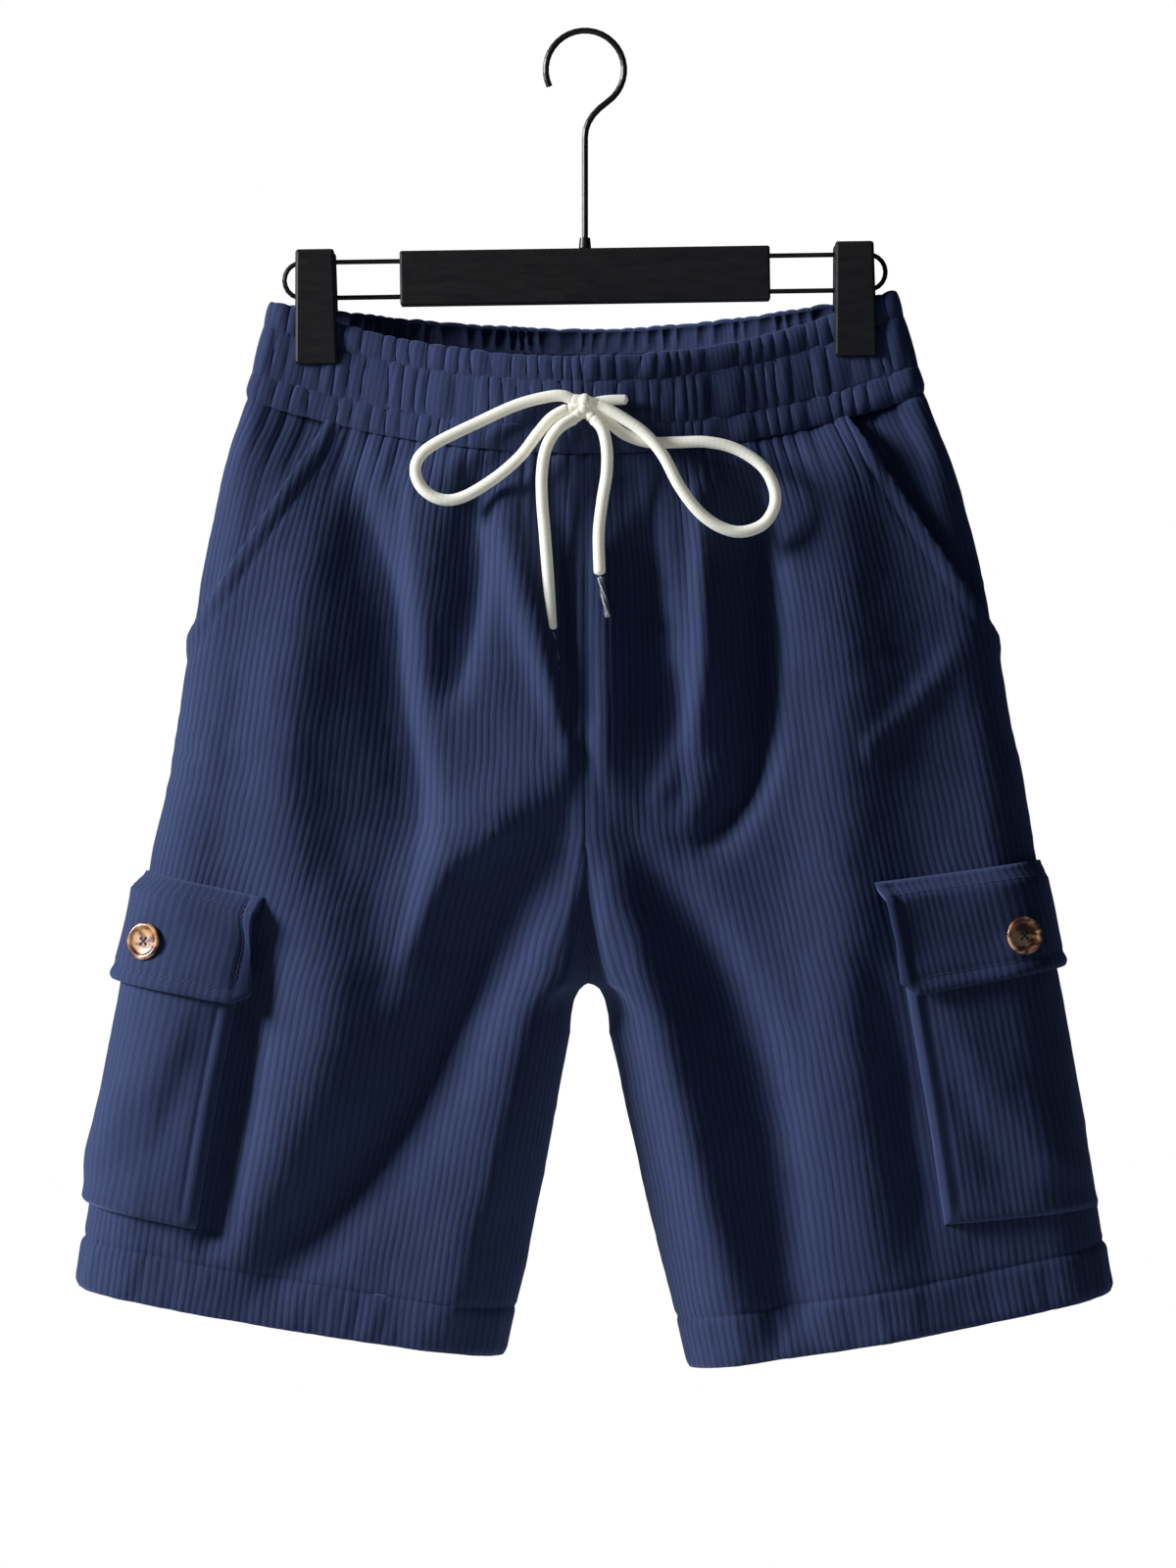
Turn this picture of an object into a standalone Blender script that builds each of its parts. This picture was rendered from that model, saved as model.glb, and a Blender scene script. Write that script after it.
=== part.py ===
"""Corduroy cargo shorts gripped by a clip hanger.

Metres, +Z up, the front faces -Y. The origin is where a rail touches the inside of the hook.
"""

import math
from collections import namedtuple
from functools import lru_cache

import bmesh
import bpy
import numpy as np
from mathutils import Matrix, Vector

MM = 0.001
GAP = 0.3 * MM            # clearance that touching pieces keep
CLOTH = 2.0 * MM          # corduroy, single layer
CASING = 4.0 * MM         # waistband: two layers round an elastic
FLAP_CLOTH = 2.8 * MM     # pocket flap: two layers

# Hanger
RAIL_WIRE = 3.5 * MM
HOOK_RADIUS = 22 * MM
HOOK_TIP = 205            # degrees round the hook from its +X side
HOOK_FOOT = -114.3 * MM
FERRULE = (7.0 * MM, 6.0 * MM)
BAR = (207.4 * MM, 12 * MM, 30.5 * MM)
BAR_TOP = -120.6 * MM
HANGER_TILT = math.radians(0.85)
WIRE = 2.7 * MM
WIRE_SPREAD = 20 * MM     # between the two runs of a wire
WIRE_REACH = 170 * MM     # bar centre to the wire's end bend
WIRE_SEAT = 11 * MM       # depth of the wire's sockets in the bar
CLIP_CENTRE = 150.8 * MM
CLIP = (24 * MM, 4.6 * MM, 64.2 * MM)
CLIP_DROP = 15.8 * MM     # jaw centre below the bar's centre line
CLIP_FACE = 7.4 * MM      # jaw's gripping face from the middle plane
PIVOT = (15 * MM, 13.6 * MM, 29 * MM)

# Trims
BUTTON = 21 * MM
BUTTON_THICK = 3.2 * MM
CORD = 6.5 * MM
AGLET = 3.0 * MM
POCKET_DEPTH = 9 * MM
POCKET_SHOULDER = 6 * MM
POCKET_REACH = {                      # from the side seam towards the front, towards the back
    "left": (80 * MM, 46 * MM),
    "right": (105 * MM, 27 * MM),
}
SEWN_GAP = 0.5 * MM                   # between a sewn-on patch and the leg
FLAP_OVERHANG = 4 * MM               # each side of the pocket
FLAP_CORNER = 9 * MM
FLAP_CLEAR = 0.5 * MM
BUTTON_OFFSET = {"left": 31 * MM, "right": 39 * MM}    # in front of the side seam
FACING_UNDERLAP = 20 * MM            # pocket facing under the front's slant edge

# Cross-sections from the waist down, in millimetres: heights of the centre seam, radius of the side,
# crown of the front and back over that radius, and where the crown dies out on the way to the side.
# bow shapes the level line between centre and side: 1 is a parabola, 0 is straight.
Section = namedtuple("Section", "name front back radius crown_front crown_back spread bow")
SECTIONS = (
    Section("band_top", -185.7, -165.0, 5.0, 22, 19, 0.82, 1.0),
    Section("waist_seam", -237.0, -219.0, 6.0, 22, 22, 0.88, 1.0),
    Section("high_hip", -275.0, -262.0, 14.0, 21, 24, 0.96, 1.0),
    Section("hip", -335.0, -327.0, 20.0, 18, 22, 1.0, 0.9),
    Section("seat", -395.0, -391.0, 24.0, 15, 19, 1.0, 0.8),
    Section("fork_top", -449.0, -447.0, 27.0, 12, 15, 1.0, 0.7),
    Section("fork", -493.0, -492.0, 28.5, 11, 13, 1.0, 0.6),
    Section("crotch", -532.0, -532.0, 30.0, 10, 12, 1.0, 0.5),
    Section("thigh", -560.0, -560.0, 31.0, 9, 11, 1.0, 0.4),
    Section("leg", -625.0, -625.0, 32.0, 8, 10, 1.0, 0.3),
    Section("low_leg", -690.0, -690.0, 31.0, 8, 9, 1.0, 0.25),
    Section("hem", -739.5, -739.5, 30.0, 8, 9, 1.0, 0.22),
)
WAIST_SEAM, FORK_TOP, CROTCH, THIGH, HEM = 1, 5, 7, 8, 11
FORK_WIDTH = (8.0, 16.0)   # half width of the groove between the legs, at its top and at the crotch
SOLE_ROUND = 30.0          # rounding of the leg tube at its inner seam
SEAM_PULL = 22.0           # how far the fork seam's own curve pulls the cloth beside it

# Where each section starts and ends on the two legs, in millimetres: inner seam (x, and how much
# lower than the table above), outer seam (x, height).
Reach = namedtuple("Reach", "name inner_x inner_drop outer_x outer_z")
LEFT_REACH = (
    Reach("band_top", 0, 0, 175.0, -152.4),
    Reach("waist_seam", 0, 0, 188.7, -205.0),
    Reach("high_hip", 0, 0, 200.5, -243.0),
    Reach("hip", 0, 0, 212.8, -300.0),
    Reach("seat", 0, 0, 222.5, -362.0),
    Reach("fork_top", 1, 0, 231.5, -415.0),
    Reach("fork", 1.5, 0, 240.6, -458.0),
    Reach("crotch", 2, 0, 247.5, -496.0),
    Reach("thigh", -9.5, 0, 253.0, -524.0),
    Reach("leg", -21.5, 0, 264.5, -588.0),
    Reach("low_leg", -34.5, 0, 275.5, -650.0),
    Reach("hem", -46.0, 0, 283.2, -701.0),
)
RIGHT_REACH = (
    Reach("band_top", 0, 0, 173.0, -145.8),
    Reach("waist_seam", 0, 0, 189.5, -202.0),
    Reach("high_hip", 0, 0, 204.0, -240.0),
    Reach("hip", 0, 0, 220.0, -297.0),
    Reach("seat", 0, 0, 232.0, -360.0),
    Reach("fork_top", 1, 0, 243.0, -413.0),
    Reach("fork", 1.5, 0, 251.0, -458.0),
    Reach("crotch", 2, 0, 258.0, -497.0),
    Reach("thigh", 15.0, 0, 263.0, -526.0),
    Reach("leg", 29.8, 1, 274.5, -590.0),
    Reach("low_leg", 46.0, 4, 284.8, -653.0),
    Reach("hem", 59.0, 7, 294.0, -704.0),
)

# Largest folds, in millimetres: the line of each, its half width, and its height over the plain
# form, below zero for a trough.
Fold = namedtuple("Fold", "face name width height line")
FOLDS = (
    Fold("front", "left_pocket_trough", 14, -5, ((-143, -250), (-139, -333), (-147, -399))),
    Fold("front", "left_pleat", 6, 3, ((-103, -240), (-102, -330), (-98, -385), (-88, -430))),
    Fold("front", "left_pleat_trough", 12, -5, ((-73, -260), (-80, -310), (-86, -366))),
    Fold("front", "left_centre_ridge", 9, 5, ((-60, -262), (-49, -305), (-40, -356), (-16, -402))),
    Fold("front", "left_thigh_ridge", 13, 5, ((-14, -418), (-60, -448), (-98, -478), (-130, -530))),
    Fold("front", "left_thigh_trough", 17, -8, ((-14, -437), (-76, -505), (-147, -581), (-190, -648))),
    Fold("front", "left_inner_ridge", 20, 4, ((-20, -480), (-44, -537), (-72, -610), (-96, -680))),
    Fold("front", "right_centre_trough", 16, -4, ((12, -255), (35, -322), (46, -399), (52, -436))),
    Fold("front", "right_pleat", 7, 4, ((55, -268), (60, -325), (58, -372), (40, -420))),
    Fold("front", "right_pleat_trough", 11, -8, ((78, -262), (84, -340), (88, -400), (64, -444))),
    Fold("front", "right_hip_ridge", 20, 4, ((126, -245), (115, -350), (104, -425), (134, -531), (145, -669))),
    Fold("front", "right_thigh_trough", 19, -6, ((20, -445), (77, -505), (104, -600), (112, -710))),
    Fold("front", "right_inner_ridge", 9, 4, ((16, -470), (36, -540), (56, -620), (70, -700))),
    Fold("back", "left_seat_trough", 16, -5, ((-112, -250), (-95, -330), (-70, -420))),
    Fold("back", "right_seat_trough", 16, -5, ((106, -250), (92, -325), (66, -425))),
    Fold("back", "left_seat_ridge", 14, 4, ((-60, -250), (-52, -330), (-32, -420))),
    Fold("back", "right_seat_ridge", 14, 4, ((58, -250), (50, -320), (34, -405))),
    Fold("back", "left_thigh_trough", 17, -7, ((-20, -450), (-80, -500), (-140, -575), (-190, -660))),
    Fold("back", "right_thigh_trough", 17, -6, ((22, -455), (86, -515), (128, -600), (150, -700))),
    Fold("back", "left_thigh_ridge", 20, 4, ((-24, -490), (-60, -570), (-95, -680))),
    Fold("back", "right_thigh_ridge", 20, 4, ((28, -495), (62, -575), (92, -690))),
)
POCKET_GAPE = {
    "left": Fold("front", "left_gape", 9, 4, ((-152, -232), (-180, -278), (-200, -310))),
    "right": Fold("front", "right_gape", 9, 4, ((155, -228), (184, -276), (203, -310))),
}
CHANNELS = ((0.0, 0.0), (0.11, 0.9), (0.22, -0.5), (0.47, 0.9), (0.74, -0.5), (0.87, 0.8), (1.0, 0.0))

# Where parts of the cargo pockets and slant pockets meet the side seam, as heights in millimetres.
Pocket = namedtuple("Pocket", "flap_top flap_foot mouth foot button slant_x slant_z")
POCKETS = {
    "left": Pocket(-470, -531, -484, -655, -507, 144, -333),
    "right": Pocket(-464, -523, -478, -658, -502, 147, -333),
}

# Drawcord routes, (x, y, z) in millimetres, from the knot outwards.
KNOT = (0, -33.8, -209.5)
ROUTES = {
    "drawcord_loop_left": (
        (-5.4, -34.8, -207), (-12, -34.8, -204), (-21, -34.3, -204.5), (-38, -33.8, -209), (-60, -34.3, -219),
        (-82, -35.8, -230), (-91.5, -36.8, -238), (-93.5, -37.3, -247), (-89, -37.8, -256), (-79, -38.3, -261.5),
        (-67, -38.8, -260), (-50, -39.3, -250), (-36, -39.3, -238), (-26, -38.8, -225), (-18, -37.8, -216),
        (-8.5, -36.3, -210.8),
    ),
    "drawcord_loop_right": (
        (5.9, -35.3, -206.4), (13, -36.8, -208.5), (22, -37.8, -214), (33, -39.3, -223), (43, -40.8, -237),
        (52, -41.8, -254), (62.5, -41.8, -268), (74, -41.3, -276.5), (86, -40.8, -279.5), (98, -39.8, -275.5),
        (104.5, -38.8, -266), (104.5, -37.8, -255), (98, -36.8, -243), (84, -35.3, -233.5), (68, -34.8, -229.5),
        (51, -33.8, -229.5), (36, -33.3, -229.5), (23, -33.3, -225.5), (13.5, -33.8, -218.5), (7.4, -34.8, -213.4),
    ),
    "drawcord_tail_left": (
        (-4.6, -38.4, -216.2), (-14, -42.8, -222), (-20.8, -43.3, -232), (-23.6, -43.3, -246), (-23.6, -41.8, -262),
        (-22, -40.8, -282), (-20, -40.8, -309), (-18.6, -41.3, -334),
    ),
    "drawcord_tail_right": (
        (3.4, -38.3, -216.2), (9.2, -40.3, -222), (12, -41.3, -233), (12, -40.8, -247), (9.5, -40.3, -263),
        (7.6, -40.3, -281), (8.2, -40.8, -303.5),
    ),
}
STUB_ROUTE = ((5.2, -30.8, -209.9), (13, -30.9, -209.4), (24, -30.9, -209.4))
AGLETS = {"left": ((-18.4, -41.4, -334.6), (-14.5, -41.8, -358)), "right": ((8.4, -40.9, -304.1), (13, -41.8, -327))}

Finish = namedtuple("Finish", "colour roughness metallic")
FINISHES = {
    "corduroy": Finish((0.020, 0.036, 0.115), 0.9, 0.0),
    "black_plastic": Finish((0.012, 0.011, 0.010), 0.45, 0.0),
    "black_steel": Finish((0.015, 0.014, 0.013), 0.35, 1.0),
    "ecru_cord": Finish((0.78, 0.74, 0.60), 0.85, 0.0),
    "tortoiseshell": Finish((0.18, 0.07, 0.025), 0.25, 0.0),
    "clear_tip": Finish((0.6, 0.6, 0.6), 0.25, 0.6),
}


# ---------------------------------------------------------------- scene and finishes

def clear_scene():
    for obj in list(bpy.data.objects):
        bpy.data.objects.remove(obj)


def new_collection(name):
    made = bpy.data.collections.new(name)
    bpy.context.scene.collection.children.link(made)
    return made


def make_materials():
    """One material for each finish of the piece."""
    made = {}
    for name, finish in FINISHES.items():
        material = bpy.data.materials.new(name)
        material.use_nodes = True
        shader = material.node_tree.nodes["Principled BSDF"]
        shader.inputs["Base Color"].default_value = (*finish.colour, 1)
        shader.inputs["Roughness"].default_value = finish.roughness
        shader.inputs["Metallic"].default_value = finish.metallic
        made[name] = material
    return made


def place(obj, finish, collection="shorts", smooth=35):
    """Moves a new object to its collection, gives it its finish and shades it smooth."""
    for old in list(obj.users_collection):
        old.objects.unlink(obj)
    bpy.data.collections[collection].objects.link(obj)
    obj.data.materials.clear()
    obj.data.materials.append(bpy.data.materials[finish])
    if obj.type == "MESH":
        obj.data.shade_smooth()
        obj.data.set_sharp_from_angle(angle=math.radians(smooth))
    return obj


def object_from_bmesh(name, shape, finish, collection="shorts"):
    mesh = bpy.data.meshes.new(name)
    shape.to_mesh(mesh)
    shape.free()
    return place(bpy.data.objects.new(name, mesh), finish, collection)


# ---------------------------------------------------------------- form of the garment

def smooth_step(value):
    value = min(max(value, 0.0), 1.0)
    return value * value * (3 - 2 * value)


def between(values, level):
    """Catmull-Rom value of one column at a fractional row."""
    last = len(values) - 1
    row = min(int(level), last - 1)
    t = level - row
    before, low, high, after = (values[min(max(row + k, 0), last)] for k in (-1, 0, 1, 2))
    tangent_low = (high - before) / 2
    tangent_high = (after - low) / 2
    return (
        low * (1 + 2 * t) * (1 - t) ** 2 + tangent_low * t * (1 - t) ** 2
        + high * t * t * (3 - 2 * t) + tangent_high * t * t * (t - 1)
    )


def column(rows, name, level):
    return between([getattr(row, name) for row in rows], level)


def reach_of(side):
    return LEFT_REACH if side == "left" else RIGHT_REACH


def inner_point(side, face, level):
    """x (outwards), height and tuck of the centre or inner seam."""
    rows = reach_of(side)
    if FORK_TOP < level <= CROTCH:
        turn = math.pi / 2 * (level - FORK_TOP) / (CROTCH - FORK_TOP)
        top, low = getattr(SECTIONS[FORK_TOP], face), getattr(SECTIONS[CROTCH], face)
        x = np.interp(level, (FORK_TOP, CROTCH), (rows[FORK_TOP].inner_x, rows[CROTCH].inner_x))
        return x, top + (low - top) * math.sin(turn), 1 - math.cos(turn)
    if CROTCH < level < THIGH:
        turn = math.pi / 2 * (level - CROTCH)
        start, end = rows[CROTCH].inner_x, rows[THIGH].inner_x
        drop = getattr(SECTIONS[THIGH], face) - getattr(SECTIONS[CROTCH], face)
        x = start + (end - start) * math.sin(turn)
        return x, getattr(SECTIONS[CROTCH], face) + drop * (1 - math.cos(turn)), 1.0
    z = column(SECTIONS, face, level) - column(rows, "inner_drop", level)
    return column(rows, "inner_x", level), z, float(level > CROTCH)


@lru_cache(maxsize=None)
def half_section(side, face, level):
    """Arc length, x, y and height along one half of a section, from the inner to the outer seam."""
    sign = -1 if side == "left" else 1
    inner_x, inner_z, tuck = inner_point(side, face, level)
    inner_x *= sign
    outer_x = column(reach_of(side), "outer_x", level)
    outer_z = column(reach_of(side), "outer_z", level)
    radius = column(SECTIONS, "radius", level)
    crown = column(SECTIONS, "crown_" + face, level)
    spread = column(SECTIONS, "spread", level)
    bow = column(SECTIONS, "bow", level)
    legs = smooth_step((level - FORK_TOP) / (THIGH - FORK_TOP))
    tube = smooth_step(level - CROTCH)
    groove = np.interp(level, (FORK_TOP, CROTCH), FORK_WIDTH)

    def depth(x):
        hips = np.cos(np.pi / 2 * np.clip(x / outer_x / spread, 0, 1)) ** 2
        along = np.clip((x - inner_x) / (outer_x - inner_x), 0, 1)
        return radius + crown * ((1 - legs) * hips + legs * (1 - (2 * along - 1) ** 2))

    t = np.linspace(0, 1, 40)
    fork_x = inner_x + groove * t
    fork_y = depth(fork_x) - tuck * depth(np.array([inner_x])) * (1 + np.cos(np.pi * t)) / 2
    tube_x = inner_x + SOLE_ROUND * (1 - np.cos(np.pi / 2 * t))
    tube_y = depth(tube_x) * np.sin(np.pi / 2 * t)
    start_x = (1 - tube) * fork_x + tube * tube_x
    start_y = (1 - tube) * fork_y + tube * tube_y
    sheet_x = np.linspace(start_x[-1], outer_x - radius, 90)[1:-1]
    side_x = outer_x - radius + radius * np.sin(np.pi / 2 * t)
    side_y = depth(side_x) * np.cos(np.pi / 2 * t)
    x = np.concatenate((start_x, sheet_x, side_x))
    y = np.concatenate((start_y, depth(sheet_x), side_y))
    y = np.maximum(y, GAP / MM / 2)
    along = (x - inner_x) / (outer_x - inner_x)
    level_z = column(SECTIONS, face, level) - column(reach_of(side), "inner_drop", level)
    z = level_z + (outer_z - level_z) * ((1 - bow) * along + bow * along**2)
    z += (inner_z - level_z) * np.exp(-(((x - inner_x) / SEAM_PULL) ** 2))
    arc = np.concatenate(((0,), np.cumsum(np.hypot(np.diff(x), np.diff(y)))))
    return arc, x * sign, y * (-1 if face == "front" else 1), z


def section_length(side, face, level):
    return half_section(side, face, level)[0][-1] * MM


@lru_cache(maxsize=None)
def fold_lines(face):
    return [(fold, np.array(fold.line, float)) for fold in FOLDS if fold.face == face]


def fold_height(fold, line, x, z):
    """Height of one fold over the plain form: a soft ridge that dies away at its ends."""
    start, run = line[:-1], np.diff(line, axis=0)
    t = ((x - start[:, 0]) * run[:, 0] + (z - start[:, 1]) * run[:, 1]) / (run**2).sum(axis=1)
    near = start + run * np.clip(t, 0, 1)[:, None]
    away = np.hypot(x - near[:, 0], z - near[:, 1]).min()
    return fold.height * math.exp(-((away / fold.width) ** 2))


def surface(side, face, across, level, gape=False, folds=True):
    """Point on the outside of the cloth: across is 0 at the inner seam and 1 at the side seam."""
    arc, x, y, z = half_section(side, face, round(level, 6))
    edge = GAP / MM / 2
    s = edge + min(max(across, 0.0), 1.0) * (arc[-1] - 2 * edge)
    px, py, pz = np.interp(s, arc, x), np.interp(s, arc, y), np.interp(s, arc, z)
    if folds and level > WAIST_SEAM:
        pocket = smooth_step((level - FORK_TOP) / (CROTCH - FORK_TOP))
        fade = smooth_step(across / 0.06) * smooth_step((1 - across) / (0.12 + 0.22 * pocket))
        fade *= smooth_step((level - WAIST_SEAM) / 0.5)
        raised = sum(fold_height(fold, line, px, pz) for fold, line in fold_lines(face))
        if gape:
            fold = POCKET_GAPE[side]
            raised += fold_height(fold, np.array(fold.line, float), px, pz)
        py += raised * fade * (-1 if face == "front" else 1)
    if level < WAIST_SEAM:
        bulge = np.interp(level, [c[0] for c in CHANNELS], [c[1] for c in CHANNELS])
        ends = smooth_step((1 - across) / 0.05)
        py += bulge * ends * (-1 if face == "front" else 1)
    return np.array((px, py, pz)) * MM


def outward(side, face, across, level, **form):
    """Unit normal of the outside, made to agree with the next panel along each seam."""
    step_u, step_v = 0.004, 0.02
    left, right = max(across - step_u, 0), min(across + step_u, 1)
    low, high = max(level - step_v, 0), min(level + step_v, HEM)
    if low < WAIST_SEAM < level:
        low = WAIST_SEAM
    if level <= WAIST_SEAM < high:
        high = WAIST_SEAM
    run_u = surface(side, face, right, level, **form) - surface(side, face, left, level, **form)
    run_v = surface(side, face, across, high, **form) - surface(side, face, across, low, **form)
    normal = np.cross(run_u, run_v)
    if (side == "left") != (face == "front"):
        normal = -normal
    if across < 1e-6 and level <= CROTCH:
        normal[0] = 0
    if across > 1 - 1e-6 or (across < 1e-6 and level > CROTCH):
        normal[1] = 0
    normal[2] *= smooth_step(abs(level - WAIST_SEAM) / 0.4)
    return normal / np.linalg.norm(normal)


def level_of(side, outer_z):
    """Section level whose side seam is at this height in millimetres."""
    levels = np.linspace(0, HEM, 1101)
    heights = [column(reach_of(side), "outer_z", level) for level in levels]
    return float(np.interp(-outer_z, [-h for h in heights], levels))


def around(side, reach, level):
    """Face and across of a point by its distance from the side seam, positive towards the front."""
    face = "front" if reach >= 0 else "back"
    return face, 1 - abs(reach) / section_length(side, face, round(level, 6))


# ---------------------------------------------------------------- cloth walls

def flat_sheet(columns, rows):
    """A flat grid over the unit square, cut out and thickened before it is shaped."""
    sheet = bmesh.new()
    bmesh.ops.create_grid(sheet, x_segments=columns, y_segments=rows, size=0.5)
    bmesh.ops.translate(sheet, verts=sheet.verts, vec=(0.5, 0.5, 0))
    return sheet


def cut_sheet(sheet, point, towards):
    """Cuts away what lies beyond a line of the flat sheet."""
    everything = sheet.verts[:] + sheet.edges[:] + sheet.faces[:]
    bmesh.ops.bisect_plane(
        sheet, geom=everything, dist=1e-5, plane_co=(*point, 0), plane_no=(*towards, 0), clear_outer=True
    )


def wall_from_sheet(name, sheet, shape, finish="corduroy"):
    """Thickens the flat sheet and sends each (u, v, inner or outer) corner to its place."""
    top = bmesh.ops.extrude_face_region(sheet, geom=sheet.faces[:])
    bmesh.ops.translate(sheet, verts=[e for e in top["geom"] if isinstance(e, bmesh.types.BMVert)], vec=(0, 0, 1))
    for vert in sheet.verts:
        vert.co = Vector(shape(vert.co.x, vert.co.y, vert.co.z > 0.5))
    bmesh.ops.triangulate(sheet, faces=sheet.faces[:])
    bmesh.ops.recalc_face_normals(sheet, faces=sheet.faces[:])
    if sheet.calc_volume(signed=True) < 0:
        bmesh.ops.reverse_faces(sheet, faces=sheet.faces[:])
    return object_from_bmesh(name, sheet, finish)


def spaced(values):
    """Even steps of the flat sheet onto hand-spaced levels."""
    return lambda t: float(np.interp(t * (len(values) - 1), range(len(values)), values))


PANEL_COLUMNS = (0, 0.03, 0.07, 0.13, 0.22, 0.31, 0.40, 0.49, 0.58, 0.685, 0.76, 0.86, 0.91, 0.955, 1)
POCKET_COLUMNS = {                                                   # the panels' columns that it crosses
    "left": (0.76, 0.86, 0.91, 0.955, 1, 0.955, 0.91, 0.86),
    "right": (0.685, 0.76, 0.86, 0.91, 0.955, 1, 0.955),
}
FLAP_ROWS = (0, 4, 8, 12, 28, 45, 61)                                # millimetres below its top
PANEL_LEVELS = (1, 1.4, 2, 2.5, 3, 3.5, 4, 4.5, 5, 5.5, 6, 6.4, 6.7, 6.88, 7, 7.15, 7.4, 8, 8.5, 9, 9.5, 10, 10.5, 11)
BAND_COLUMNS = (0, 0.04, 0.1, 0.18, 0.27, 0.36, 0.45, 0.54, 0.63, 0.72, 0.80, 0.87, 0.93, 0.965, 0.985, 1)
FACING_COLUMNS = (0, 0.25, 0.5, 0.7, 0.85, 0.93, 1)


def slant_across(side, level):
    """Where the slant pocket's edge crosses a level."""
    pocket = POCKETS[side]
    arc, x, _, _ = half_section(side, "front", float(WAIST_SEAM))
    top = float(np.interp(pocket.slant_x, np.abs(x), arc)) / arc[-1]
    end = level_of(side, pocket.slant_z)
    return top + (1 - top) * (level - WAIST_SEAM) / (end - WAIST_SEAM), top, end


def make_panel(side, face):
    """A leg front or back, from the waist seam to the turned hem."""
    across, levels = spaced(PANEL_COLUMNS), spaced(PANEL_LEVELS)
    sheet = flat_sheet(len(PANEL_COLUMNS) - 1, len(PANEL_LEVELS) - 1)
    for vert in sheet.verts:
        vert.co.x, vert.co.y = across(vert.co.x), levels(vert.co.y) / HEM
    if face == "front":
        _, top, end = slant_across(side, WAIST_SEAM)
        run = (1 - top, (end - WAIST_SEAM) / HEM)
        cut_sheet(sheet, (top, WAIST_SEAM / HEM), (run[1], -run[0]))

    def shape(u, v, inner):
        level = v * HEM
        point = surface(side, face, u, level, gape=True)
        if inner:
            point = point - CLOTH * outward(side, face, u, level, gape=True)
        return point

    return wall_from_sheet(f"{face}_{side}", sheet, shape)


def make_band(face):
    """Front or back of the waistband, from one side seam to the other."""
    half = spaced(BAND_COLUMNS)
    levels = [c[0] for c in CHANNELS]
    rows = spaced(levels)
    sheet = flat_sheet(2 * (len(BAND_COLUMNS) - 1), len(levels) - 1)

    def shape(u, v, inner):
        side = "left" if u < 0.5 else "right"
        across = half(abs(u - 0.5) * 2)
        level = rows(v) * (WAIST_SEAM - GAP / MM / 52)
        point = surface(side, face, across, level)
        if across < 1e-6:
            point[0] = 0
        if inner:
            point = point - CASING * outward(side, face, across, level)
        return point

    return wall_from_sheet(f"waistband_{face}", sheet, shape)


def make_facing(side):
    """Corduroy behind the slant pocket: flush at the seams, tucked under the front's edge."""
    columns = spaced(FACING_COLUMNS)
    sheet = flat_sheet(len(FACING_COLUMNS) - 1, 9)
    _, _, end = slant_across(side, WAIST_SEAM)

    def shape(u, v, inner):
        level = WAIST_SEAM + v * (end + 0.18 - WAIST_SEAM)
        slant = min(slant_across(side, level)[0], 1)
        length = section_length(side, "front", round(level, 6))
        start = slant - FACING_UNDERLAP / length
        across = start + (1 - start) * columns(u)
        past = (across - slant) * length
        sunk = (CLOTH + 2.3 * GAP) * (1 - smooth_step((past - 3 * MM) / (20 * MM)))
        normal = outward(side, "front", across, level)
        return surface(side, "front", across, level) - normal * (sunk + CLOTH * inner)

    return wall_from_sheet(f"pocket_facing_{side}", sheet, shape)


def off_leg(side, reach, level, height):
    """A point at this height over the leg's cloth."""
    face, across = around(side, reach, level)
    return surface(side, face, across, level) + height * outward(side, face, across, level)


def pocket_reaches(side, level, insets):
    """Distances from the side seam of a row of points, on the panels' own columns between the edges."""
    crossed = POCKET_COLUMNS[side]
    reaches = [POCKET_REACH[side][0] - inset for inset in insets]
    front = section_length(side, "front", round(level, 6))
    back = section_length(side, "back", round(level, 6))
    middle = crossed.index(1)
    reaches += [(1 - c) * front for c in crossed[:middle]]
    reaches += [(c - 1) * back for c in crossed[middle:]]
    return reaches + [inset - POCKET_REACH[side][1] for inset in reversed(insets)]


def make_cargo_pocket(side):
    """Bellows pocket round the side seam: a shallow tray with its mouth open at the top."""
    pocket = POCKETS[side]
    top, foot = level_of(side, pocket.mouth), level_of(side, pocket.foot)
    tall = (pocket.mouth - pocket.foot) * MM
    turns = (0, 30, 60, 90)                          # degrees round each shoulder
    columns, rows = 2 * len(turns) + len(POCKET_COLUMNS[side]) - 1, len(turns) + 5
    sheet = flat_sheet(columns, rows)

    def shoulder(step, wall):
        angle = math.radians(turns[min(step, len(turns) - 1)])
        return wall + (POCKET_SHOULDER - wall) * (1 - math.cos(angle)), math.sin(angle)

    def shape(u, v, inner):
        wall = CLOTH * inner
        step, lift_step = round(u * columns), round((1 - v) * rows)
        rise = shoulder(min(step, columns - step), wall)[1]
        lift, rise_foot = shoulder(lift_step, wall)
        if lift_step >= len(turns):
            lift += (lift_step - len(turns) + 1) / (rows - len(turns) + 1) * (tall - POCKET_SHOULDER)
        level = foot + (top - foot) * min(lift / tall, 1)
        reach = pocket_reaches(side, level, [shoulder(k, wall)[0] for k in range(len(turns))])[step]
        height = (POCKET_DEPTH - wall) * rise * rise_foot
        return off_leg(side, reach, level, SEWN_GAP + height)

    return wall_from_sheet(f"cargo_pocket_{side}", sheet, shape)


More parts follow.
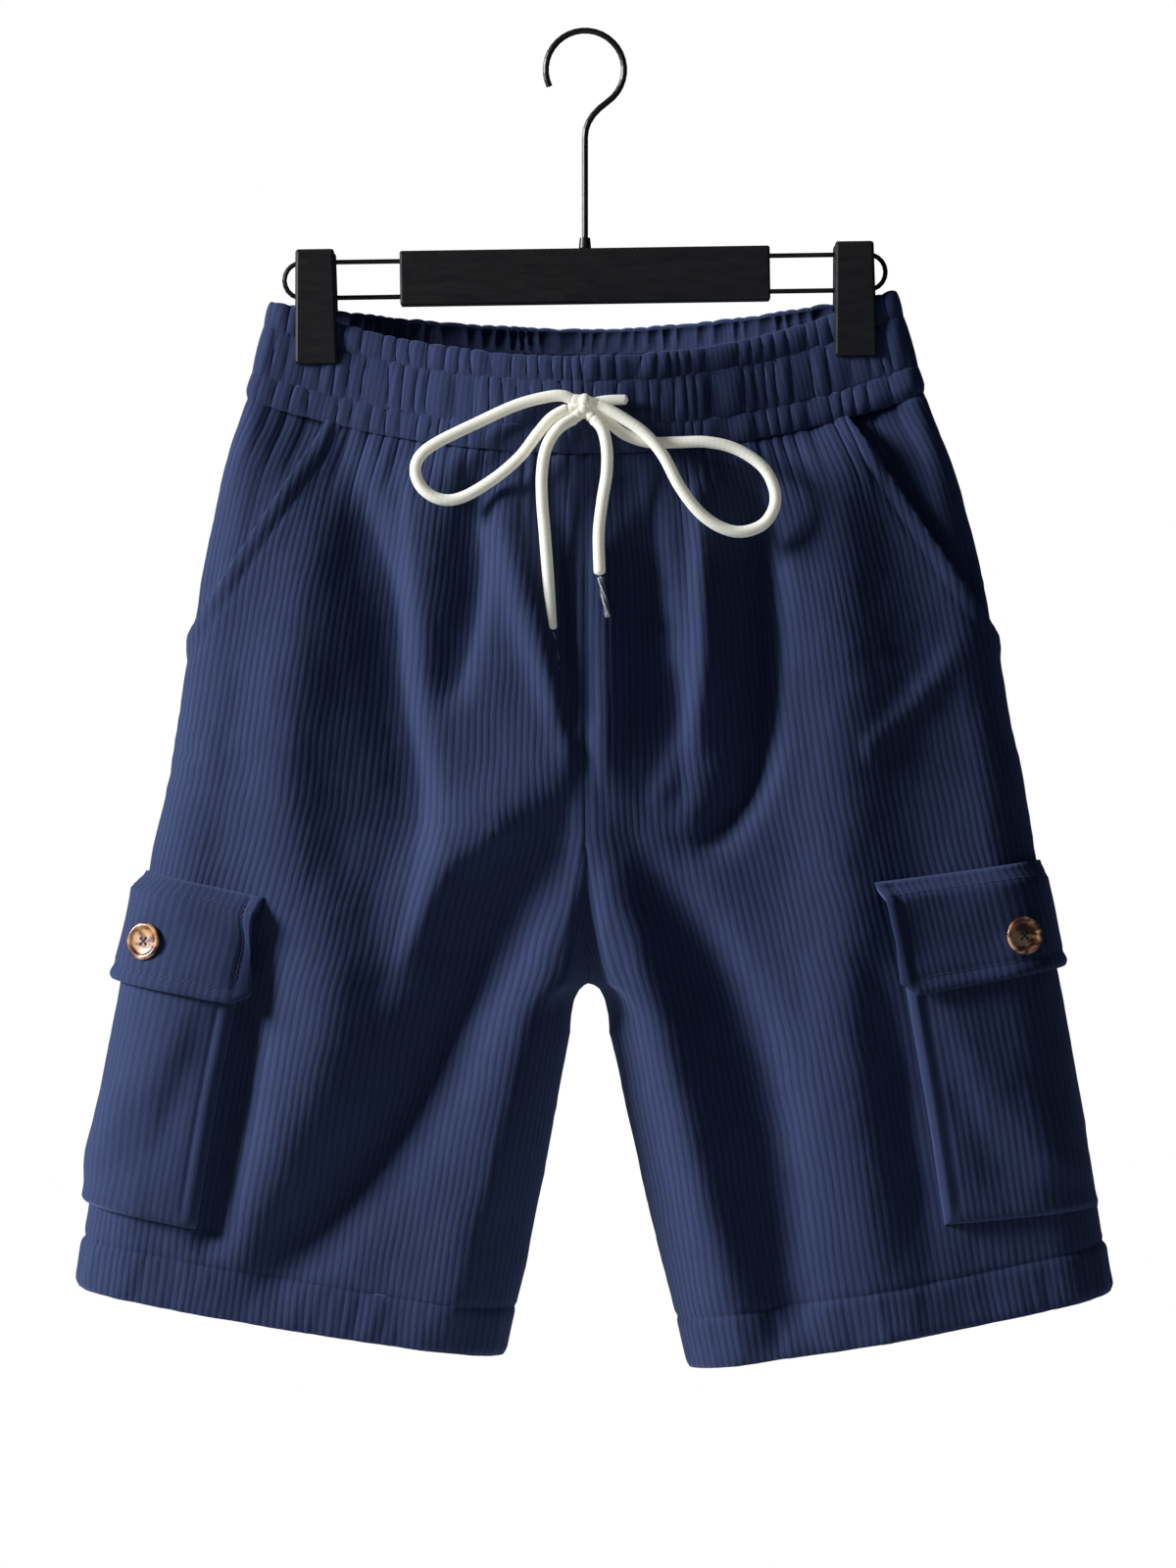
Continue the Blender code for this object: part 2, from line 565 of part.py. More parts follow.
def make_flap(side):
    """Doubled flap over the pocket mouth, with its lower corners cut off."""
    pocket = POCKETS[side]
    top, foot = level_of(side, pocket.flap_top), level_of(side, pocket.flap_foot)
    tall = (pocket.flap_top - pocket.flap_foot) * MM
    insets = (-FLAP_OVERHANG, 0) if side == "left" else (-FLAP_OVERHANG, 0, POCKET_SHOULDER)
    columns = 2 * len(insets) + len(POCKET_COLUMNS[side]) - 1
    rows = spaced([drop / FLAP_ROWS[-1] for drop in FLAP_ROWS])
    sheet = flat_sheet(columns, len(FLAP_ROWS) - 1)
    for vert in sheet.verts:
        vert.co.y = rows(vert.co.y)
    corner = (1.2 / columns, FLAP_CORNER / tall)
    cut_sheet(sheet, (corner[0], 1), (-corner[1], corner[0]))
    cut_sheet(sheet, (1 - corner[0], 1), (corner[1], corner[0]))

    def shape(u, v, inner):
        rise = smooth_step(v * FLAP_ROWS[-1] / FLAP_ROWS[3])
        height = SEWN_GAP + (POCKET_DEPTH + FLAP_CLEAR) * rise + FLAP_CLOTH * (not inner)
        level = top + (foot - top) * v
        reaches = pocket_reaches(side, level, insets)
        return off_leg(side, float(np.interp(u * columns, range(columns + 1), reaches)), level, height)

    return wall_from_sheet(f"cargo_flap_{side}", sheet, shape)


def make_button(side):
    """Four-hole button with a raised rim, lying on the flap."""
    profile = ((0, 0), (0.78, 0), (0.93, 0.25), (1, 0.6), (0.95, 0.92), (0.86, 1), (0.74, 0.82), (0, 0.74))
    shape = bmesh.new()
    points = [shape.verts.new((x * BUTTON / 2, 0, z * BUTTON_THICK)) for x, z in profile]
    edges = [shape.edges.new(pair) for pair in zip(points, points[1:])]
    bmesh.ops.spin(
        shape, geom=points + edges, axis=(0, 0, 1), cent=(0, 0, 0), angle=2 * math.pi, steps=28,
        use_merge=True, use_duplicate=False,
    )
    bmesh.ops.remove_doubles(shape, verts=shape.verts, dist=1e-6)
    bmesh.ops.recalc_face_normals(shape, faces=shape.faces[:])
    button = object_from_bmesh(f"button_{side}", shape, "tortoiseshell")
    holes = bmesh.new()
    for x, y in ((1, 1), (1, -1), (-1, 1), (-1, -1)):
        where = Matrix.Translation((x * 2.1 * MM, y * 2.1 * MM, 0))
        bmesh.ops.create_cone(
            holes, cap_ends=True, segments=10, radius1=1.1 * MM, radius2=1.1 * MM,
            depth=4 * BUTTON_THICK, matrix=where,
        )
    cutter = object_from_bmesh(f"button_holes_{side}", holes, "tortoiseshell", "cutters")
    cutter.hide_render = True
    cutter.display_type = "WIRE"
    cutter.parent = button
    cut = button.modifiers.new("holes", "BOOLEAN")
    cut.operation = "DIFFERENCE"
    cut.object = cutter
    level = level_of(side, POCKETS[side].button)
    height = SEWN_GAP + POCKET_DEPTH + FLAP_CLEAR + FLAP_CLOTH
    seat = off_leg(side, BUTTON_OFFSET[side], level, height + GAP)
    face, across = around(side, BUTTON_OFFSET[side], level)
    normal = Vector(outward(side, face, across, level))
    button.location = seat
    button.rotation_mode = "QUATERNION"
    button.rotation_quaternion = normal.to_track_quat("Z", "Y")
    return button


# ---------------------------------------------------------------- drawcord

def smooth_route(route, spacing):
    """Points at even spacing on a smooth curve through the route's own points, in metres."""
    route = np.array(route, float)
    rows = np.linspace(0, len(route) - 1, 12 * len(route))
    dense = np.array([[between(route[:, k], row) for k in range(3)] for row in rows])
    run = np.concatenate(((0,), np.cumsum(np.linalg.norm(np.diff(dense, axis=0), axis=1))))
    count = max(3, round(run[-1] / spacing) + 1)
    even = np.linspace(0, run[-1], count)
    return np.column_stack([np.interp(even, run, dense[:, k]) for k in range(3)]) * MM


def make_tube(name, points, diameter, finish, resolution=2):
    curve = bpy.data.curves.new(name, "CURVE")
    curve.dimensions = "3D"
    curve.bevel_depth = diameter / 2
    curve.bevel_resolution = resolution
    curve.use_fill_caps = True
    spline = curve.splines.new("POLY")
    spline.points.add(len(points) - 1)
    for point, place_at in zip(spline.points, points):
        point.co = (*place_at, 1)
    return place(bpy.data.objects.new(name, curve), finish)


def make_knot():
    """The wrapped middle of the bow, a tight rounded bead."""
    knot = bmesh.new()
    where = Matrix.Translation(Vector(KNOT) * MM)
    bmesh.ops.create_uvsphere(knot, u_segments=14, v_segments=9, radius=1)
    bmesh.ops.scale(knot, verts=knot.verts, vec=(4.9 * MM, 5.0 * MM, 6.6 * MM))
    bmesh.ops.transform(knot, verts=knot.verts, matrix=where)
    return object_from_bmesh("drawcord_knot", knot, "ecru_cord")


def make_drawcord():
    make_knot()
    for name, route in ROUTES.items():
        make_tube(name, smooth_route(route, 2 * CORD / MM), CORD, "ecru_cord")
    make_tube("drawcord_stub", smooth_route(STUB_ROUTE, CORD / MM), 0.7 * CORD, "ecru_cord")
    for side, ends in AGLETS.items():
        make_tube(f"aglet_{side}", smooth_route(ends, 8), AGLET, "clear_tip")


# ---------------------------------------------------------------- hanger

def hook_points():
    """A stem, a bend to one side and an open ring whose inside top is the origin."""
    centre = Vector((0, 0, RAIL_WIRE / 2 - HOOK_RADIUS))
    start = math.radians(-55)
    ring_start = centre + HOOK_RADIUS * Vector((math.cos(start), 0, math.sin(start)))
    bend = ring_start.z - ring_start.x * math.tan(math.radians(35))
    stem_top = Vector((0, 0, bend - 11 * MM))
    control = Vector((0, 0, bend))
    points = [Vector((0, 0, HOOK_FOOT)), (Vector((0, 0, HOOK_FOOT)) + stem_top) / 2]
    for t in np.linspace(0, 1, 6)[:-1]:
        points.append((1 - t) ** 2 * stem_top + 2 * t * (1 - t) * control + t * t * ring_start)
    for angle in np.radians(np.linspace(-55, HOOK_TIP, 27)):
        points.append(centre + HOOK_RADIUS * Vector((math.cos(angle), 0, math.sin(angle))))
    return points


def rounded_box(name, size, finish, bevel=0.8 * MM, taper=1.0):
    """A box with eased edges; taper narrows its top."""
    shape = bmesh.new()
    bmesh.ops.create_cube(shape, size=1)
    bmesh.ops.scale(shape, verts=shape.verts, vec=size)
    for vert in shape.verts:
        if vert.co.z > 0:
            vert.co.x *= taper
    obj = object_from_bmesh(name, shape, finish)
    edge = obj.modifiers.new("eased_edges", "BEVEL")
    edge.width = bevel
    edge.segments = 2
    edge.limit_method = "ANGLE"
    return obj


def bore(name, diameter, length, where, target):
    """Cuts a round hole along X through the target."""
    shape = bmesh.new()
    bmesh.ops.create_cone(
        shape, cap_ends=True, segments=16, radius1=diameter / 2, radius2=diameter / 2, depth=length,
        matrix=Matrix.Rotation(math.pi / 2, 4, "Y"),
    )
    cutter = object_from_bmesh(name, shape, "black_steel", "cutters")
    cutter.location = where
    cutter.parent = target
    cutter.hide_render = True
    cutter.display_type = "WIRE"
    cut = target.modifiers.new(name, "BOOLEAN")
    cut.operation = "DIFFERENCE"
    cut.object = cutter


def make_hanger():
    make_tube("hanger_hook", hook_points(), RAIL_WIRE, "black_steel", resolution=3)
    ferrule = bmesh.new()
    bmesh.ops.create_cone(
        ferrule, cap_ends=True, segments=24, radius1=FERRULE[0] / 2, radius2=FERRULE[0] * 0.42,
        depth=FERRULE[1] - GAP, matrix=Matrix.Translation((0, 0, HOOK_FOOT - GAP / 2 - FERRULE[1] / 2)),
    )
    object_from_bmesh("hanger_ferrule", ferrule, "black_steel")

    frame = bpy.data.objects.new("hanger_frame", None)
    bpy.data.collections["shorts"].objects.link(frame)
    frame.location = (0, 0, BAR_TOP - GAP - BAR[2] / 2)
    frame.rotation_euler = (0, -HANGER_TILT, 0)
    bar = rounded_box("hanger_bar", BAR, "black_plastic", bevel=1.2 * MM)
    bar.parent = frame
    for sign, side in ((-1, "left"), (1, "right")):
        make_arm(sign, side, bar, frame)


def make_arm(sign, side, bar, frame):
    """The sliding clip of one side and the bent wire that it rides on."""
    half = WIRE_SPREAD / 2
    socket = BAR[0] / 2 - WIRE_SEAT
    points = [(sign * (socket + GAP), 0, half), (sign * (WIRE_REACH - half) * 0.8, 0, half)]
    for angle in np.radians(np.linspace(90, -90, 11)):
        x = WIRE_REACH - WIRE / 2 - half + half * math.cos(angle)
        points.append((sign * x, 0, half * math.sin(angle)))
    points += [(x, 0, -z) for x, _, z in reversed(points[:2])]
    wire = make_tube(f"hanger_wire_{side}", points, WIRE, "black_steel")
    wire.parent = frame
    for name, z in (("upper", half), ("lower", -half)):
        where = (sign * (socket + 20 * MM), 0, z)
        bore(f"socket_{name}_{side}", WIRE + 2 * GAP, 40 * MM, where, bar)

    block = rounded_box(f"clip_{side}_pivot", PIVOT, "black_plastic")
    block.location = (sign * CLIP_CENTRE, 0, 0)
    block.parent = frame
    for name, z in (("upper", half), ("lower", -half)):
        bore(f"clip_bore_{name}_{side}", WIRE + 2 * GAP, 40 * MM, (0, 0, z), block)
    for name, face in (("front", -1), ("back", 1)):
        jaw = rounded_box(f"clip_{side}_{name}_jaw", CLIP, "black_plastic", bevel=1.6 * MM, taper=0.9)
        jaw.location = (sign * CLIP_CENTRE, face * (CLIP_FACE + CLIP[1] / 2), -CLIP_DROP)
        jaw.parent = frame


def main():
    clear_scene()
    new_collection("shorts")
    new_collection("cutters")
    make_materials()
    for side in ("left", "right"):
        make_panel(side, "front")
        make_panel(side, "back")
        make_facing(side)
        make_cargo_pocket(side)
        make_flap(side)
        make_button(side)
    make_band("front")
    make_band("back")
    make_drawcord()
    make_hanger()


main()
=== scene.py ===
"""Looks of a pair of corduroy cargo shorts on a clip hanger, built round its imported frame."""

import math
from collections import namedtuple
from functools import lru_cache

import bmesh
import bpy
import numpy as np
from bpy.props import FloatProperty, FloatVectorProperty, PointerProperty
from mathutils import Matrix, Vector


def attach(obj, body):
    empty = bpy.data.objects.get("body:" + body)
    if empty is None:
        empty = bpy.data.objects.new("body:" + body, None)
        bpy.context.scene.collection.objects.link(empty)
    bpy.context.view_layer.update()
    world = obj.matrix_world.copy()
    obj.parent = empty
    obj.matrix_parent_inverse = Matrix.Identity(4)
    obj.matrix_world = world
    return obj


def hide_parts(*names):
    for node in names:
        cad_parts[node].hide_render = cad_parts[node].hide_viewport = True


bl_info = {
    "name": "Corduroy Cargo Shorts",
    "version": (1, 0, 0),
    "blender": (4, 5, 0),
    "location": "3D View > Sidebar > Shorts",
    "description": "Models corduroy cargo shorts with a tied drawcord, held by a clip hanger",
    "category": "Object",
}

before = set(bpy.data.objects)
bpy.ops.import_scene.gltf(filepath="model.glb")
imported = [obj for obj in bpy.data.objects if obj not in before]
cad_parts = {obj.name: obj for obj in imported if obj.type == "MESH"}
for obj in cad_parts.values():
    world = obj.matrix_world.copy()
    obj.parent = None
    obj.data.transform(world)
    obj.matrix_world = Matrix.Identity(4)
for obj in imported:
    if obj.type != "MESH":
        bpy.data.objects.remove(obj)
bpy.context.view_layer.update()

MM = 0.001
GAP = 0.3
SIDES = ("left", "right")
CREASE_GAIN = 1.3    # strength of the folds

# ---------------------------------------------------------------- form, in millimetres

Section = namedtuple("Section", "name front back radius crown_front crown_back spread bow")
SECTIONS = (
    Section("band_top", -185.7, -165.0, 5.0, 22, 19, 0.82, 1.0),
    Section("waist_seam", -237.0, -219.0, 6.0, 22, 22, 0.88, 1.0),
    Section("high_hip", -275.0, -262.0, 14.0, 21, 24, 0.96, 1.0),
    Section("hip", -335.0, -327.0, 20.0, 18, 22, 1.0, 0.9),
    Section("seat", -395.0, -391.0, 24.0, 15, 19, 1.0, 0.8),
    Section("fork_top", -449.0, -447.0, 27.0, 12, 15, 1.0, 0.7),
    Section("fork", -493.0, -492.0, 28.5, 11, 13, 1.0, 0.6),
    Section("crotch", -532.0, -532.0, 30.0, 10, 12, 1.0, 0.5),
    Section("thigh", -560.0, -560.0, 31.0, 9, 11, 1.0, 0.4),
    Section("leg", -625.0, -625.0, 32.0, 8, 10, 1.0, 0.3),
    Section("low_leg", -690.0, -690.0, 31.0, 8, 9, 1.0, 0.25),
    Section("hem", -739.5, -739.5, 30.0, 8, 9, 1.0, 0.22),
)
WAIST_SEAM, FORK_TOP, CROTCH, THIGH, HEM = 1, 5, 7, 8, 11
FORK_WIDTH = (8.0, 16.0)
SOLE_ROUND = 30.0
SEAM_PULL = 22.0

Reach = namedtuple("Reach", "inner_x inner_drop outer_x outer_z")    # one to each section
REACHES = {
    "left": (
        Reach(0, 0, 175.0, -152.4), Reach(0, 0, 188.7, -205.0), Reach(0, 0, 200.5, -243.0),
        Reach(0, 0, 212.8, -300.0), Reach(0, 0, 222.5, -362.0), Reach(1, 0, 231.5, -415.0),
        Reach(1.5, 0, 240.6, -458.0), Reach(2, 0, 247.5, -496.0), Reach(-9.5, 0, 253.0, -524.0),
        Reach(-21.5, 0, 264.5, -588.0), Reach(-34.5, 0, 275.5, -650.0), Reach(-46.0, 0, 283.2, -701.0),
    ),
    "right": (
        Reach(0, 0, 173.0, -145.8), Reach(0, 0, 189.5, -202.0), Reach(0, 0, 204.0, -240.0),
        Reach(0, 0, 220.0, -297.0), Reach(0, 0, 232.0, -360.0), Reach(1, 0, 243.0, -413.0),
        Reach(1.5, 0, 251.0, -458.0), Reach(2, 0, 258.0, -497.0), Reach(15.0, 0, 263.0, -526.0),
        Reach(29.8, 1, 274.5, -590.0), Reach(46.0, 4, 284.8, -653.0), Reach(59.0, 7, 294.0, -704.0),
    ),
}

# Creases: each runs along a line of (x, z, height over the plain form), and dies away over its own
# width to the left and to the right of that line.
Crease = namedtuple("Crease", "left right line")
CREASES = {
    "front": (
        Crease(26, 24, ((-162, -250, 2), (-163, -333, 7), (-166, -400, 9), (-163, -465, 7),
            (-144, -510, 7), (-140, -540, 8), (-152, -588, 8), (-168, -630, 7),
            (-184, -674, 4))),    # left hip crest
        Crease(24, 9, ((-135, -240, -3), (-108, -311, -9), (-102, -366, -10), (-92, -432, -8),
            (-100, -487, -6), (-111, -526, -3))),    # left side trough
        Crease(5, 14, ((-97, -245, 3), (-95, -311, 4), (-95, -366, 3), (-84, -416, 1))),    # left pleat
        Crease(14, 7, ((-61, -259, -4), (-59, -311, -6), (-70, -366, -4))),    # left pleat trough
        Crease(8, 13, ((-47, -267, 4), (-37, -311, 7), (-20, -361, 7),
            (-7, -402, 3))),    # left centre crest
        Crease(10, 6, ((-13, -267, -3), (-7, -333, -6), (-5, -388, -5))),    # left centre trough
        Crease(26, 11, ((-20, -424, 4), (-53, -449, 8), (-81, -471, 8),
            (-100, -509, 5))),    # left fork crest
        Crease(22, 18, ((-8, -450, -4), (-29, -479, -9), (-56, -526, -13), (-92, -592, -14),
            (-139, -655, -11), (-172, -691, -6))),    # left thigh trough
        Crease(27, 15, ((-14, -476, 2), (-24, -531, 5), (-40, -586, 7), (-56, -641, 7),
            (-75, -707, 6))),    # left inner crest
        Crease(10, 11, ((-182, -509, -3), (-186, -564, -7), (-197, -630, -8),
            (-206, -668, -6))),    # left pocket shade
        Crease(5, 16, ((5, -300, 2), (7, -366, 4), (8, -410, 3))),    # centre crest
        Crease(26, 8, ((29, -256, -4), (41, -322, -8), (51, -388, -8),
            (51, -421, -4))),    # right centre trough
        Crease(6, 10, ((63, -262, 4), (65, -317, 6), (65, -361, 6), (57, -394, 4),
            (41, -427, 2))),    # right pleat
        Crease(15, 8, ((98, -256, -7), (101, -311, -12), (102, -366, -13), (95, -416, -11),
            (76, -449, -7), (57, -457, -3))),    # right pleat trough
        Crease(27, 26, ((139, -240, 5), (139, -311, 8), (146, -377, 8), (144, -449, 7), (146, -531, 8),
            (149, -603, 7), (158, -669, 6), (169, -718, 4))),    # right hip crest
        Crease(22, 15, ((24, -460, -4), (51, -490, -8), (76, -531, -12), (98, -586, -12),
            (106, -641, -10), (112, -707, -7))),    # right thigh trough
        Crease(14, 15, ((8, -449, 3), (24, -498, 6), (39, -553, 7), (57, -614, 7), (73, -674, 6),
            (90, -718, 4))),    # right inner crest
        Crease(4, 9, ((202, -350, 2), (189, -366, 4), (158, -399, 2))),    # right flank crest
        Crease(13, 9, ((160, -525, -2), (170, -570, -5), (180, -630, -5),
            (190, -690, -1))),    # right pocket shade
    ),
    "back": (
        Crease(24, 20, ((-150, -240, 3), (-140, -320, 7), (-126, -400, 5))),    # left seat crest
        Crease(16, 12, ((-100, -240, -4), (-92, -330, -8), (-74, -420, -6))),    # left seat trough
        Crease(12, 15, ((-52, -245, 4), (-44, -320, 6), (-24, -400, 4))),    # left back crest
        Crease(22, 17, ((-14, -450, -4), (-50, -490, -9), (-96, -560, -12),
            (-150, -640, -8))),    # left under trough
        Crease(24, 16, ((-22, -500, 3), (-46, -575, 7), (-78, -690, 6))),    # left calf crest
        Crease(22, 22, ((-140, -500, 4), (-168, -580, 7), (-186, -670, 4))),    # left outer crest
        Crease(20, 24, ((146, -240, 3), (134, -315, 7), (122, -400, 5))),    # right seat crest
        Crease(12, 16, ((96, -240, -4), (86, -325, -8), (70, -420, -6))),    # right seat trough
        Crease(15, 12, ((50, -245, 4), (42, -315, 6), (26, -395, 4))),    # right back crest
        Crease(17, 22, ((18, -455, -4), (62, -505, -9), (110, -590, -12),
            (140, -690, -7))),    # right under trough
        Crease(16, 24, ((30, -500, 3), (60, -590, 7), (92, -700, 6))),    # right calf crest
        Crease(22, 22, ((150, -500, 4), (176, -590, 7), (200, -680, 4))),    # right outer crest
    ),
}
CHANNELS = ((0.0, 0.1), (0.03, 0.6), (0.10, 1.0), (0.20, 0.85), (0.27, 0.35), (0.30, 0.0), (0.33, 0.35),
            (0.42, 0.85), (0.52, 1.0), (0.62, 0.85), (0.71, 0.35), (0.74, 0.0), (0.77, 0.35), (0.84, 0.75),
            (0.90, 0.8), (0.96, 0.5), (1.0, 0.0))
CHANNEL_SEAMS = (0.30, 0.74)

Pocket = namedtuple("Pocket", "flap_top flap_foot mouth foot button slant_x slant_z")
POCKETS = {
    "left": Pocket(-470, -531, -484, -655, -507, 144, -333),
    "right": Pocket(-464, -523, -478, -658, -502, 147, -333),
}
POCKET_REACH = {"left": (80.0, 46.0), "right": (105.0, 27.0)}
POCKET_DEPTH = 9.0
FLAP_OVERHANG = 4.0
FLAP_CORNER = 7.5
FLAP_CLOTH = 2.8
FLAP_WALL = 2.4
BUTTON_OFFSET = {"left": 31.0, "right": 39.0}

KNOT = (0, -33.8, -209.5)
ROUTES = {
    "drawcord_loop_left": (
        (-5.4, -34.8, -207), (-12, -34.8, -204), (-21, -34.3, -204.5), (-38, -33.8, -209),
        (-60, -34.3, -219), (-82, -35.8, -230), (-91.5, -36.8, -238), (-93.5, -37.3, -247),
        (-89, -37.8, -256), (-79, -38.3, -261.5), (-67, -38.8, -260), (-50, -39.3, -250),
        (-36, -39.3, -238), (-26, -38.8, -225), (-18, -37.8, -216), (-8.5, -36.3, -210.8),
    ),
    "drawcord_loop_right": (
        (5.9, -35.3, -208.4), (13, -36.8, -211.8), (22, -37.8, -217), (33, -39.3, -225),
        (43, -40.8, -237), (52, -41.8, -254), (62.5, -41.8, -268), (74, -41.3, -276.5),
        (86, -40.8, -279.5), (98, -39.8, -275.5), (104.5, -38.8, -266), (104.5, -37.8, -255),
        (98, -36.8, -243), (84, -35.3, -233.5), (68, -34.8, -229.5), (51, -33.8, -229.5),
        (36, -33.3, -229.5), (23, -33.3, -225.5), (13.5, -33.8, -218.5), (7.4, -34.8, -213.4),
    ),
    "drawcord_tail_left": (
        (-4.6, -38.4, -216.2), (-14, -42.8, -222), (-20.8, -43.3, -232), (-23.6, -43.3, -246),
        (-23.6, -41.8, -262), (-22, -40.8, -282), (-20, -40.8, -309), (-18.6, -41.3, -334),
    ),
    "drawcord_tail_right": (
        (3.4, -38.3, -216.2), (9.2, -40.3, -222), (12, -41.3, -233), (12, -40.8, -247),
        (9.5, -40.3, -263), (7.6, -40.3, -281), (8.2, -40.8, -303.5),
    ),
    "drawcord_stub": ((4.0, -33.4, -207.6), (13, -34.0, -206.2), (24, -34.0, -206.0)),
}
KNOT_INSIDES = (    # the cords where they run into each other inside the wrap, and their radius
    (((-8.5, -35.2, -206.1), (0, -35.6, -207), (8.0, -35.6, -209.4)), 3.25),
    (((-10.5, -36.6, -212.2), (0, -36.0, -211), (9.0, -34.8, -214.2)), 3.25),
    (((-6.0, -39.4, -217.6), (-3.2, -37.6, -213.6), (-1.0, -36.2, -209.5)), 3.25),
    (((4.8, -39.0, -217.8), (2.4, -37.4, -213.6), (0.8, -36.2, -209.5)), 3.25),
    (((-5.5, -33.0, -209.5), (0, -33.0, -209.5), (6.5, -33.0, -209.8)), 4.6),
)
BOW_SAG = np.array((0, 0, -2.4 * MM))
AGLETS = {
    "left": ((-18.4, -41.4, -334.6), (-16.4, -41.6, -346), (-14.5, -41.8, -358)),
    "right": ((8.4, -40.9, -304.1), (10.6, -41.3, -315), (13, -41.8, -327)),
}


def smooth_step(value):
    value = np.clip(value, 0.0, 1.0)
    return value * value * (3 - 2 * value)


def between(values, level):
    """Catmull-Rom value of one column at a fractional row."""
    last = len(values) - 1
    row = min(int(level), last - 1)
    t = level - row
    before, low, high, after = (values[min(max(row + k, 0), last)] for k in (-1, 0, 1, 2))
    tangent_low = (high - before) / 2
    tangent_high = (after - low) / 2
    return (
        low * (1 + 2 * t) * (1 - t) ** 2 + tangent_low * t * (1 - t) ** 2
        + high * t * t * (3 - 2 * t) + tangent_high * t * t * (t - 1)
    )


def column(rows, name, level):
    return between([getattr(row, name) for row in rows], level)


def inner_point(side, face, level):
    """x (outwards), height and tuck of the centre or inner seam."""
    rows = REACHES[side]
    if FORK_TOP < level <= CROTCH:
        turn = math.pi / 2 * (level - FORK_TOP) / (CROTCH - FORK_TOP)
        top, low = getattr(SECTIONS[FORK_TOP], face), getattr(SECTIONS[CROTCH], face)
        x = np.interp(level, (FORK_TOP, CROTCH), (rows[FORK_TOP].inner_x, rows[CROTCH].inner_x))
        return x, top + (low - top) * math.sin(turn), 1 - math.cos(turn)
    if CROTCH < level < THIGH:
        turn = math.pi / 2 * (level - CROTCH)
        start, end = rows[CROTCH].inner_x, rows[THIGH].inner_x
        drop = getattr(SECTIONS[THIGH], face) - getattr(SECTIONS[CROTCH], face)
        x = start + (end - start) * math.sin(turn)
        return x, getattr(SECTIONS[CROTCH], face) + drop * (1 - math.cos(turn)), 1.0
    z = column(SECTIONS, face, level) - column(rows, "inner_drop", level)
    return column(rows, "inner_x", level), z, float(level > CROTCH)


@lru_cache(maxsize=None)
def half_section(side, face, level):
    """Arc length, x, y and height along one half of a section, from the inner to the outer seam."""
    sign = -1 if side == "left" else 1
    inner_x, inner_z, tuck = inner_point(side, face, level)
    inner_x *= sign
    outer_x = column(REACHES[side], "outer_x", level)
    outer_z = column(REACHES[side], "outer_z", level)
    radius = column(SECTIONS, "radius", level)
    crown = column(SECTIONS, "crown_" + face, level)
    spread = column(SECTIONS, "spread", level)
    bow = column(SECTIONS, "bow", level)
    legs = smooth_step((level - FORK_TOP) / (THIGH - FORK_TOP))
    tube = smooth_step(level - CROTCH)
    groove = np.interp(level, (FORK_TOP, CROTCH), FORK_WIDTH)

    def depth(x):
        hips = np.cos(np.pi / 2 * np.clip(x / outer_x / spread, 0, 1)) ** 2
        along = np.clip((x - inner_x) / (outer_x - inner_x), 0, 1)
        return radius + crown * ((1 - legs) * hips + legs * (1 - (2 * along - 1) ** 2))

    t = np.linspace(0, 1, 40)
    fork_x = inner_x + groove * t
    fork_y = depth(fork_x) - tuck * depth(np.array([inner_x])) * (1 + np.cos(np.pi * t)) / 2
    tube_x = inner_x + SOLE_ROUND * (1 - np.cos(np.pi / 2 * t))
    tube_y = depth(tube_x) * np.sin(np.pi / 2 * t)
    start_x = (1 - tube) * fork_x + tube * tube_x
    start_y = (1 - tube) * fork_y + tube * tube_y
    sheet_x = np.linspace(start_x[-1], outer_x - radius, 90)[1:-1]
    side_x = outer_x - radius + radius * np.sin(np.pi / 2 * t)
    side_y = depth(side_x) * np.cos(np.pi / 2 * t)
    x = np.concatenate((start_x, sheet_x, side_x))
    y = np.concatenate((start_y, depth(sheet_x), side_y))
    y = np.maximum(y, GAP / 2)
    along = (x - inner_x) / (outer_x - inner_x)
    level_z = column(SECTIONS, face, level) - column(REACHES[side], "inner_drop", level)
    z = level_z + (outer_z - level_z) * ((1 - bow) * along + bow * along**2)
    z += (inner_z - level_z) * np.exp(-(((x - inner_x) / SEAM_PULL) ** 2))
    arc = np.concatenate(((0,), np.cumsum(np.hypot(np.diff(x), np.diff(y)))))
    return arc, x * sign, y * (-1 if face == "front" else 1), z


def section_length(side, face, level):
    return half_section(side, face, round(float(level), 6))[0][-1]


def level_of(side, outer_z):
    """Section level whose side seam is at this height."""
    levels = np.linspace(0, HEM, 1101)
    heights = [-column(REACHES[side], "outer_z", level) for level in levels]
    return float(np.interp(-outer_z, heights, levels))


def smooth_line(points, steps):
    """More points on a smooth curve through a short list of them."""
    points = np.array(points, float)
    rows = np.linspace(0, len(points) - 1, steps * (len(points) - 1) + 1)
    return np.array([[between(points[:, k], row) for k in range(points.shape[1])] for row in rows])


